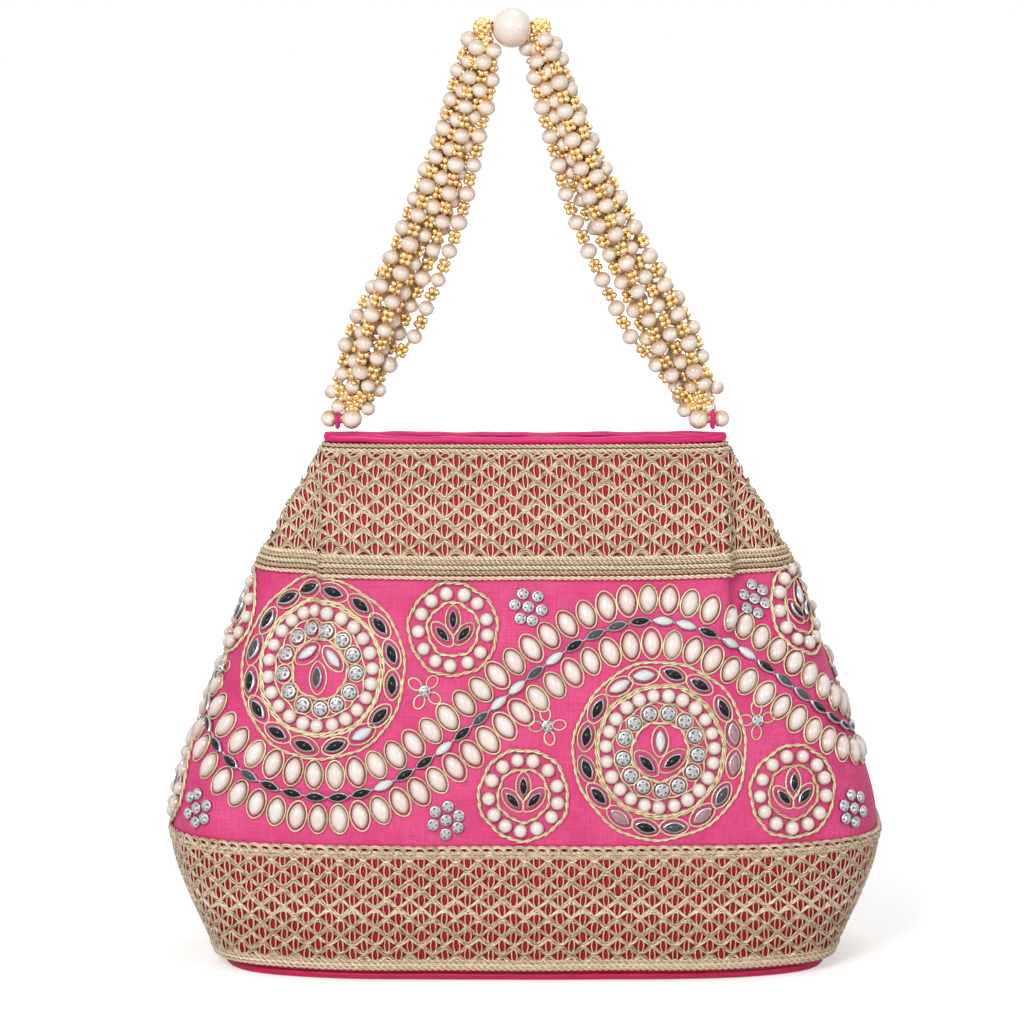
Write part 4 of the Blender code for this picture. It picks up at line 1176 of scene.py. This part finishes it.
def large_medallion(centre, leaves, leaf_reflections, ring_reflections, seed):
    """Rings from outside in: cord, mirrors, double cord, pearls, wire, stones, cord, trefoil."""
    random = np.random.default_rng(seed)
    many = len(ring_reflections)
    parts = [ring_cord(centre, LARGE_OUTER_CORD, random)]
    places, ahead = around(centre, LARGE_MIRROR_RING, many, 0.2, random, 0.03)
    lean = random.uniform(-0.2, 0.2, many)
    ahead = unit(ahead + lean[:, None] * (places - np.asarray(centre)) / LARGE_MIRROR_RING)
    parts += mirrors(places, ahead, LARGE_MIRROR, tones(ring_reflections))
    parts.append(wires(places, ahead, LARGE_MIRROR_WIRE, random, sharp=1.15))
    parts += [ring_cord(centre, radius, random) for radius in LARGE_DOUBLE_CORD]
    places, _ = around(centre, *LARGE_PEARL_RING, 0.05, random, 0.012)
    parts.append(round_pearls(places, random))
    parts.append(ring_cord(centre, LARGE_WIRE_RING, random, plies=1, thick=WIRE))
    places, ahead = around(centre, *LARGE_STONE_RING, 0.4, random, 0.03)
    parts += stones(places, random)
    parts.append(wires(places, ahead, LARGE_STONE_WIRE, random))
    parts.append(ring_cord(centre, LARGE_INNER_CORD, random))
    return parts + leaf_mirrors(centre, leaves, leaf_reflections, random, LARGE_LEAF)


def small_medallion(centre, glass, seed):
    """Rings from outside in: cord, pearls, cord, trefoil."""
    random = np.random.default_rng(seed)
    parts = [ring_cord(centre, SMALL_OUTER_CORD, random, thick=THICK_CORD)]
    places, _ = around(centre, *SMALL_PEARL_RING, 0.3, random, 0.03)
    parts.append(round_pearls(places, random))
    parts.append(ring_cord(centre, SMALL_INNER_CORD, random))
    return parts + leaf_mirrors(centre, SMALL_LEAVES, glass, random, SMALL_LEAF)


def stone_flower(centre, random):
    """Six stones round a seventh."""
    places, _ = around(centre, FLOWER_RING, 6, random.uniform(0, 1), random, 0.1)
    return stones(np.concatenate([places, [centre]]), random, FLOWER_STONE_RADIUS)


def wire_flower(centre, random):
    """A stone with four petals of bent wire."""
    places, along = around(centre, PETAL_RING, 4, random.uniform(0, 1), random, 0.15)
    outward = np.stack([along[:, 1], -along[:, 0]], axis=-1)
    parts = stones(np.array([centre]), random, FLOWER_STONE_RADIUS)
    parts.append(wires(places, outward, PETAL_WIRE, random))
    return parts


def ornament_place(shares):
    """Distance round the bag and height of an ornament, from its two shares."""
    across, up = shares
    low, high = LOWER_LACE[1], UPPER_LACE[0]
    return across * BELLY_HALF_WIDTH, low + up * (high - low)


def wave_line(aside):
    """Line along the wave moved aside: a spiral up the left side, then a sine across the bag."""
    level = WAVE_MIDDLE - WAVE_AMPLITUDE / 2
    s = np.linspace(-half_length(level), half_length(level), 2 * WAVE_STEPS)
    x = on_cloth(s, level, 0.0, folded=False)[:, 0]
    trough = np.interp(WAVE_CENTRE - WAVE_HALF_PERIOD / 2, x, s)
    right = s[s > trough]
    phase = math.pi * (np.interp(right, s, x) - WAVE_CENTRE) / WAVE_HALF_PERIOD
    sine = np.stack([right, WAVE_MIDDLE + WAVE_AMPLITUDE * np.sin(phase)], axis=-1)
    turn = np.linspace(math.pi / 2, 0.0, WAVE_STEPS, endpoint=False)
    radius = SPIRAL_RADIUS + (SPIRAL_END_RADIUS - SPIRAL_RADIUS) * (2 * turn / math.pi) ** 2
    middle = WAVE_MIDDLE - WAVE_AMPLITUDE + SPIRAL_RADIUS
    spiral = np.stack([trough - radius * np.sin(turn), middle - radius * np.cos(turn)], axis=-1)
    line = np.concatenate([spiral, sine])
    ahead = unit(np.gradient(line, axis=0))
    return line + aside * np.stack([-ahead[:, 1], ahead[:, 0]], axis=-1), ahead


def wave_links(aside, pitch, margin):
    """Middles of the links that fill the wave between the side seams less a margin, and directions."""
    line, ahead = wave_line(aside)
    kept = np.abs(line[:, 0]) < half_length(line[:, 1]) - margin
    line = line[kept]
    ahead = ahead[kept]
    length = np.concatenate([[0.0], np.cumsum(np.linalg.norm(np.diff(line, axis=0), axis=1))])
    at = np.linspace(0.0, length[-1], 2 * int(length[-1] / pitch) + 1)[1::2]
    places = np.stack([np.interp(at, length, line[:, k]) for k in (0, 1)], axis=-1)
    return places, unit(np.stack([np.interp(at, length, ahead[:, k]) for k in (0, 1)], axis=-1))


def mirror_chain():
    """Mirrors point to point along the wave, each couched by a thin wire."""
    random = np.random.default_rng(21)
    places, ahead = wave_links(0.0, MIRROR_PITCH, MIRROR_HALF_WIDTH + SEAM_CLEARANCE)
    tone = random.choice(tones(CHAIN_MIRROR_REFLECTIONS), len(places))
    parts = mirrors(places, ahead, (MIRROR_HALF_WIDTH, MIRROR_PITCH / 2), tone)
    line, _ = wave_line(0.0)
    line = line[np.abs(line[:, 0]) < half_length(line[:, 1]) - 0.001][::6]
    raised = WIRE + 0.0001 * np.sin(np.arange(len(line)) * 1.2)[None, :]
    looks = {"finish": CORD_FINISH, "tint": np.ones(1)}
    parts.append(cloth_threads(line[None, :, 0], line[None, :, 1], raised, WIRE, 4, **looks))
    return parts


def pearl_row(direction, seed):
    """Oval pearls side by side along the wave, each standing across it in an oval of wire."""
    random = np.random.default_rng(seed)
    margin = PEARL_HALF_LENGTH + SEAM_CLEARANCE
    places, ahead = wave_links(direction * ROW_DISTANCE, PEARL_PITCH, margin)
    across = np.stack([-ahead[:, 1], ahead[:, 0]], axis=-1)
    lean = random.uniform(-0.09, 0.09, len(places))
    across = unit(across + lean[:, None] * ahead)
    frames = cloth_frames(places[:, 0], places[:, 1], 0.0, across[:, 0], across[:, 1])
    grow = random.uniform(0.95, 1.05, (len(places), 1))
    size = grow * np.array([OVAL_PEARL_SIZE])
    pearls = scatter(OVAL_PEARL, frames, size, PEARL_FINISH, random.uniform(0, 1, len(places)))
    return [pearls, flat_wires(frames, OVAL_PEARL_WIRE, random, sharp=1.1)]


def bead_lines(sign):
    """Places of the pearls of one side's strands: spread, twisted and pushed apart where they touch."""
    number = np.arange(STRAND_COUNT)
    phase = (number * 0.618) % 1.0
    share = (np.arange(STRAND_PEARLS)[None, :] + 0.12 + 0.76 * phase[:, None]) / STRAND_PEARLS
    share = np.clip(share, 0.0, 1.0)
    foot = sign * KNOT_PLACE
    head = PEARL_CENTRE[0] + sign * CORE_KNOT_PLACE
    middle = foot + (head - foot) * smooth_curve(share, *BUNDLE_LEAN)
    spread = smooth_curve(share, *BUNDLE_SPREAD)
    angle = 2 * math.pi * number[:, None] / (STRAND_COUNT - 1) + sign * STRAND_TWIST * share
    reach = np.where(number % 3 == 0, 0.55, 0.95)[:, None] * spread
    x = middle + 0.8 * reach * np.cos(angle) + sign * 0.15 * spread
    y = 0.8 * reach * np.sin(angle)
    hang = smooth_step(share[-1], 0.0, 0.2) * (1 - smooth_step(share[-1], 0.55, 0.95))
    x[-1] = middle[-1] - sign * spread[-1] * (0.35 + 0.75 * hang)
    y[-1] = -0.3 * spread[-1]
    z = STRAND_LOW + (STRAND_HIGH - STRAND_LOW) * share
    places = np.stack([x, y, z], axis=-1)
    home = places.copy()
    flat = places.reshape(-1, 3)
    own = np.repeat(number, STRAND_PEARLS)
    others = own[:, None] != own[None, :]
    for _ in range(40):
        gap = flat[:, None, :] - flat[None, :, :]
        far = np.linalg.norm(gap, axis=-1) + 1e-9
        press = np.where(others, np.clip(2 * STRAND_PEARL_RADIUS - far, 0.0, None), 0.0)
        push = (press / far)[..., None] * gap * (1.0, 1.0, 0.3)
        flat += 0.3 * push.sum(axis=1)
        flat += 0.04 * (home.reshape(-1, 3) - flat)
        rise = flat[:, 2] - AXIS_HEIGHT
        room = np.clip(FOOT_ROOM - 0.17 * rise, 0.0, None) + smooth_step(rise, *FOOT_OPENS)
        flat[:, 1] = np.clip(flat[:, 1], -room, room)
    return flat.reshape(places.shape)


def handle_side(sign, seed):
    """One side of the handle: strung pearls with rings of seed beads between them."""
    random = np.random.default_rng(seed)
    pearls = bead_lines(sign)
    foot = np.array([sign * KNOT_PLACE, 0.0, STRAND_LOW - 0.001])
    head = np.array([PEARL_CENTRE[0] + sign * CORE_KNOT_PLACE, 0.0, STRAND_HIGH + 0.0005])
    ends = [np.broadcast_to(p, (STRAND_COUNT, 1, 3)) for p in (foot, head)]
    line = np.concatenate([ends[0], pearls, ends[1]], axis=1)
    start, stop = line[:, :-1], line[:, 1:]
    span = np.linalg.norm(stop - start, axis=-1)
    direction = unit(stop - start)
    inner = np.ones(span.shape, dtype=bool)
    inner[:, [0, -1]] = False
    centres, ways = [], []
    for row in (-0.5, 0.5):
        centres.append(((start + stop) / 2 + direction * row * SEED_ROW)[inner])
        ways.append(direction[inner])
    for end, towards in ((0, -1), (-1, 1)):
        tip = pearls[:, end]
        room = span[:, end]
        for row in range(4):
            reach = STRAND_PEARL_RADIUS + SEED_RADIUS * 0.9 + row * SEED_ROW
            fits = reach < room - SEED_RADIUS
            centres.append((tip + towards * direction[:, end] * reach)[fits])
            ways.append(direction[:, end][fits])
    centres = np.concatenate(centres)
    ways = np.concatenate(ways)
    side = unit(np.cross(ways, (0.0, 1.0, 0.0)))
    front = np.cross(ways, side)
    begin = random.uniform(0, 2 * math.pi, len(centres))
    seeds = []
    for k in range(3):
        turn = (begin + 2 * math.pi * k / 3)[:, None]
        spot = centres + SEED_RING * (np.cos(turn) * side + np.sin(turn) * front)
        frames = (spot, side, ways, np.cross(side, ways))
        size = SEED_RADIUS * random.uniform(0.9, 1.1, (len(spot), 1))
        seeds.append(scatter(SEED_BEAD, frames, size, 1))
    flat = pearls.reshape(-1, 3)
    along = unit(np.gradient(pearls, axis=1)).reshape(-1, 3)
    aside = unit(np.cross(along, (0.0, 1.0, 0.0)))
    grow = STRAND_PEARL_RADIUS * random.uniform(0.92, 1.08, (len(flat), 1)) * (1.0, 1.0, 0.95)
    at_foot = 1 - smooth_step(flat[:, 2:] - AXIS_HEIGHT, *FOOT_OPENS)
    grow = grow * (1 - at_foot) + 0.87 * STRAND_PEARL_RADIUS * at_foot
    frames = (flat, aside, np.cross(along, aside), along)
    balls = scatter(STRAND_PEARL, frames, grow, 0, random.uniform(0, 1, len(flat)))
    cores = tubes(line, np.broadcast_to((0.0, 1.0, 0.0), line.shape), 0.0005, 4, finish=2)
    return [balls, *seeds, cores]


def turned_about_x(profile, centre, segments):
    """Surface of revolution about a line along X: steps along it with a radius at each."""
    turn = np.linspace(0.0, 2 * math.pi, segments, endpoint=False)
    circle = np.stack([0 * turn, np.cos(turn), np.sin(turn)], axis=-1)
    along, radius = np.array(profile).T
    points = circle[None] * radius[:, None, None] + np.asarray(centre)
    points[..., 0] += along[:, None]
    return points


def top_pearl_parts():
    """Large pearl: a ball bored along X."""
    lip = math.asin(PEARL_BORE / PEARL_RADIUS)
    turn = np.linspace(lip, math.pi - lip, 22)
    profile = np.stack([-PEARL_RADIUS * np.cos(turn), PEARL_RADIUS * np.sin(turn)], axis=-1)
    points = turned_about_x(profile, PEARL_CENTRE, PEARL_SEGMENTS)
    faces = grid_faces(len(profile), PEARL_SEGMENTS, closed=True)
    index = np.arange(len(profile) * PEARL_SEGMENTS).reshape(len(profile), PEARL_SEGMENTS)
    bore = [index[-1], np.roll(index[-1], -1), np.roll(index[0], -1), index[0]]
    faces = np.concatenate([faces, np.stack(bore, axis=-1)])
    # Place falls towards the underside, where the pearl finish paints shade
    place = 0.72 + 0.3 * (points[..., 2].ravel() - PEARL_CENTRE[2]) / PEARL_RADIUS
    return [part(points, [faces], place=place, tint=0.1)]


def seed_cluster(centre, radius, count):
    """Seed beads set over a ball in a golden spiral."""
    share = (np.arange(count) + 0.5) / count
    level = 1 - 2 * share
    turn = math.pi * (1 + math.sqrt(5)) * np.arange(count)
    flat = np.sqrt(1 - level**2)
    out = np.stack([level, flat * np.cos(turn), flat * np.sin(turn)], axis=-1)
    side = unit(np.cross(out, (0.3, 0.5, 0.8)))
    frames = (np.asarray(centre) + radius * out, side, np.cross(out, side), out)
    return scatter(SEED_BEAD, frames, SEED_RADIUS, 1)


def loose_pearls(centres, radius):
    """Whole pearls at given places."""
    axes = [np.tile(axis, (len(centres), 1)) for axis in np.eye(3)]
    return scatter(ball_shape(16, 24), (centres, *axes), radius, 0, 0.4)


def make_cloth():
    """Silk, lining, bindings and base."""
    parts, places = silk_panel()
    panels = []
    for side, made in (("front", parts), ("rear", turned_half_round(parts))):
        name = f"silk_{side}"
        panels.append(add_piece(name, made, [SILK], "bag", [f"{side}_panel"], places))
    lining = add_piece("lining_cup", lining_parts(), [LINING_CLOTH], "bag", ["lining"])
    base = add_piece("silk_base", base_parts(), [BASE_SATIN], "bag", ["base_panel"])
    bindings = add_both("lip_binding", binding_parts(), [BINDING_SATIN], ["binding"])
    return panels, lining, base, bindings


def add_ornament(name, parts, stands_for):
    """An ornament on the front face and its copy on the rear face."""
    add_both(name, parts, ORNAMENT_FINISHES, stands_for)


def make_embroidery():
    """Every ornament of both faces, and those that wrap the side seams."""
    random = np.random.default_rng(31)
    add_ornament("mirrors_on_wave", mirror_chain(), ["mirror_chain"])
    add_ornament("pearls_above_wave", pearl_row(1, 22), ["pearl_row_upper"])
    add_ornament("pearls_below_wave", pearl_row(-1, 23), ["pearl_row_lower"])
    for seed, (place, centre) in enumerate(LARGE_MEDALLIONS.items()):
        parts = large_medallion(ornament_place(centre), *MEDALLION_MIRRORS[place], 41 + seed)
        add_ornament(f"medallion_{place}", parts, [f"large_medallion_{place}"])
    for seed, (place, centre) in enumerate(SMALL_MEDALLIONS.items()):
        parts = small_medallion(ornament_place(centre), "kkk", 51 + seed)
        add_ornament(f"medallion_{place}", parts, [f"small_medallion_{place}"])
    for place, centre in STONE_FLOWERS.items():
        parts = stone_flower(ornament_place(centre), random)
        add_ornament(f"flower_{place}", parts, [f"stone_flower_{place}"])
    parts = [p for centre in MORE_STONE_FLOWERS for p in stone_flower(centre, random)]
    add_ornament("flowers_aside", parts, ())
    parts = [p for centre in WIRE_FLOWERS for p in wire_flower(centre, random)]
    add_ornament("wire_flowers", parts, ())
    for seed, (place, centre) in enumerate(SIDE_MEDALLIONS.items()):
        parts = small_medallion(centre, "wkk", 61 + seed)
        add_piece(f"side_medallion_{place}", parts, ORNAMENT_FINISHES, "bag")


def make_handle():
    """Bead strands on their core threads, pearls over the knots and peg heads, seed bead clusters at the
    core knots, and the large pearl.
    """
    finishes = (STRING_PEARL, SEED_METAL, GOLD_CORD)
    for side, sign, seed in (("left", -1, 71), ("right", 1, 72)):
        nodes = [f"strand_{side}_{k}" for k in range(1, 5)]
        name = f"bead_strands_{side}"
        add_piece(name, handle_side(sign, seed), finishes, "handle", nodes)
        knot = np.array([[sign * KNOT_PLACE, 0.0, AXIS_HEIGHT]])
        head = np.array([[sign * PEG_HEAD_PLACE, 0.0, AXIS_HEIGHT]])
        covers = [loose_pearls(knot, KNOT_PEARL_RADIUS), loose_pearls(head, PEG_PEARL_RADIUS)]
        add_piece(f"corner_pearls_{side}", covers, finishes, "handle")
        place = PEARL_CENTRE + np.array([sign * CORE_KNOT_PLACE, 0.0, 0.0])
        cluster = seed_cluster(place, CORE_KNOT_RADIUS, 26)
        add_piece(f"seed_cluster_{side}", [cluster], finishes, "handle")
    add_piece("crown_pearl", top_pearl_parts(), [STRING_PEARL], "pearl", ["top_pearl"])


def finish_nodes():
    """Finishes of the model's own nodes that stay in sight or inside."""
    kept = {"base_board": BOARD, "core_thread": GOLD_CORD}
    for side in ("front", "rear"):
        kept[f"snap_{side}"] = STEEL
    for side in ("left", "right"):
        kept[f"eyelet_{side}"] = BINDING_SATIN
        kept[f"end_knot_{side}"] = GOLD_CORD
    for name, finish in kept.items():
        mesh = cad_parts[name].data
        mesh.materials.clear()
        mesh.materials.append(finish)


def stage():
    """Pale floor that glows to white away from the bag, under a world that the camera sees as white."""
    mesh = bpy.data.meshes.new("floor")
    corners = [(x * FLOOR_REACH, y * FLOOR_REACH, 0) for x, y in ((-1, -1), (1, -1), (1, 1), (-1, 1))]
    mesh.from_pydata(corners, [], [(0, 1, 2, 3)])
    floor = bpy.data.objects.new("floor", mesh)
    floor.location.z = -0.0002
    bpy.context.scene.collection.objects.link(floor)
    made, tree, shader = new_finish("floor paper", Roughness=0.9)
    shader.inputs["Base Color"].default_value = linear(FLOOR_PAPER)
    shader.inputs["Specular IOR Level"].default_value = 0.0
    where = node(tree, "ShaderNodeTexCoord").outputs["Object"]
    away = node(tree, "ShaderNodeVectorMath", {0: where}, operation="LENGTH").outputs["Value"]
    glow = ranged(tree, away, FLOOR_NEAR, FLOOR_FAR, FLOOR_GLOW, 1.0)
    rays = node(tree, "ShaderNodeLightPath").outputs["Is Camera Ray"]
    seen = node(tree, "ShaderNodeMath", {0: rays, 1: glow}, operation="MULTIPLY").outputs[0]
    light = node(tree, "ShaderNodeEmission", {"Strength": seen}).outputs[0]
    both = node(tree, "ShaderNodeAddShader", {0: shader.outputs[0], 1: light}).outputs[0]
    tree.links.new(both, tree.nodes["Material Output"].inputs["Surface"])
    mesh.materials.append(made)

    world = bpy.data.worlds.new("studio")
    world.use_nodes = True
    bpy.context.scene.world = world
    tree = world.node_tree
    rays = node(tree, "ShaderNodeLightPath").outputs
    bright = {0: rays["Is Camera Ray"], 1: rays["Is Glossy Ray"]}
    seen = node(tree, "ShaderNodeMath", bright, operation="MAXIMUM").outputs[0]
    back = tree.nodes["Background"]
    back.inputs["Color"].default_value = (1.0, 1.0, 1.0, 1.0)
    tree.links.new(ranged(tree, seen, 0.0, 1.0, WORLD_LIGHT, 1.0), back.inputs["Strength"])


def lamp(name, place, size, power):
    """Square soft light aimed at the middle of the bag."""
    data = bpy.data.lights.new(name, "AREA")
    data.size = size
    data.energy = power
    made = bpy.data.objects.new(name, data)
    bpy.context.scene.collection.objects.link(made)
    made.location = place
    aim = np.array(LAMP_AIM) - np.array(place)
    made.rotation_euler = Vector(aim).to_track_quat("-Z", "Y").to_euler()


def camera():
    """Long lens straight in front, ten degrees above the middle of the bag."""
    data = bpy.data.cameras.new("camera")
    data.lens = CAMERA_LENS
    data.sensor_width = CAMERA_SENSOR
    data.clip_end = CAMERA_REACH
    made = bpy.data.objects.new("camera", data)
    bpy.context.scene.collection.objects.link(made)
    x, y, z = CAMERA_AIM
    back = CAMERA_DISTANCE * math.cos(CAMERA_RISE)
    made.location = (x, y - back, z + CAMERA_DISTANCE * math.sin(CAMERA_RISE))
    made.rotation_euler = (math.pi / 2 - CAMERA_RISE, 0.0, 0.0)
    bpy.context.scene.camera = made


def main():
    """Builds the scene round the frame."""
    camera()
    stage()
    for settings in LAMPS:
        lamp(*settings)
    panels, lining, base, bindings = make_cloth()
    laces = add_both("crochet_lower", lower_lace(), [LACE_THREAD], ["lower_lace"])
    laces += add_both("crochet_upper", upper_lace(), [LACE_THREAD], ["upper_lace"])
    make_embroidery()
    make_handle()
    finish_nodes()
    bpy.context.scene.view_settings.view_transform = "Standard"


main()
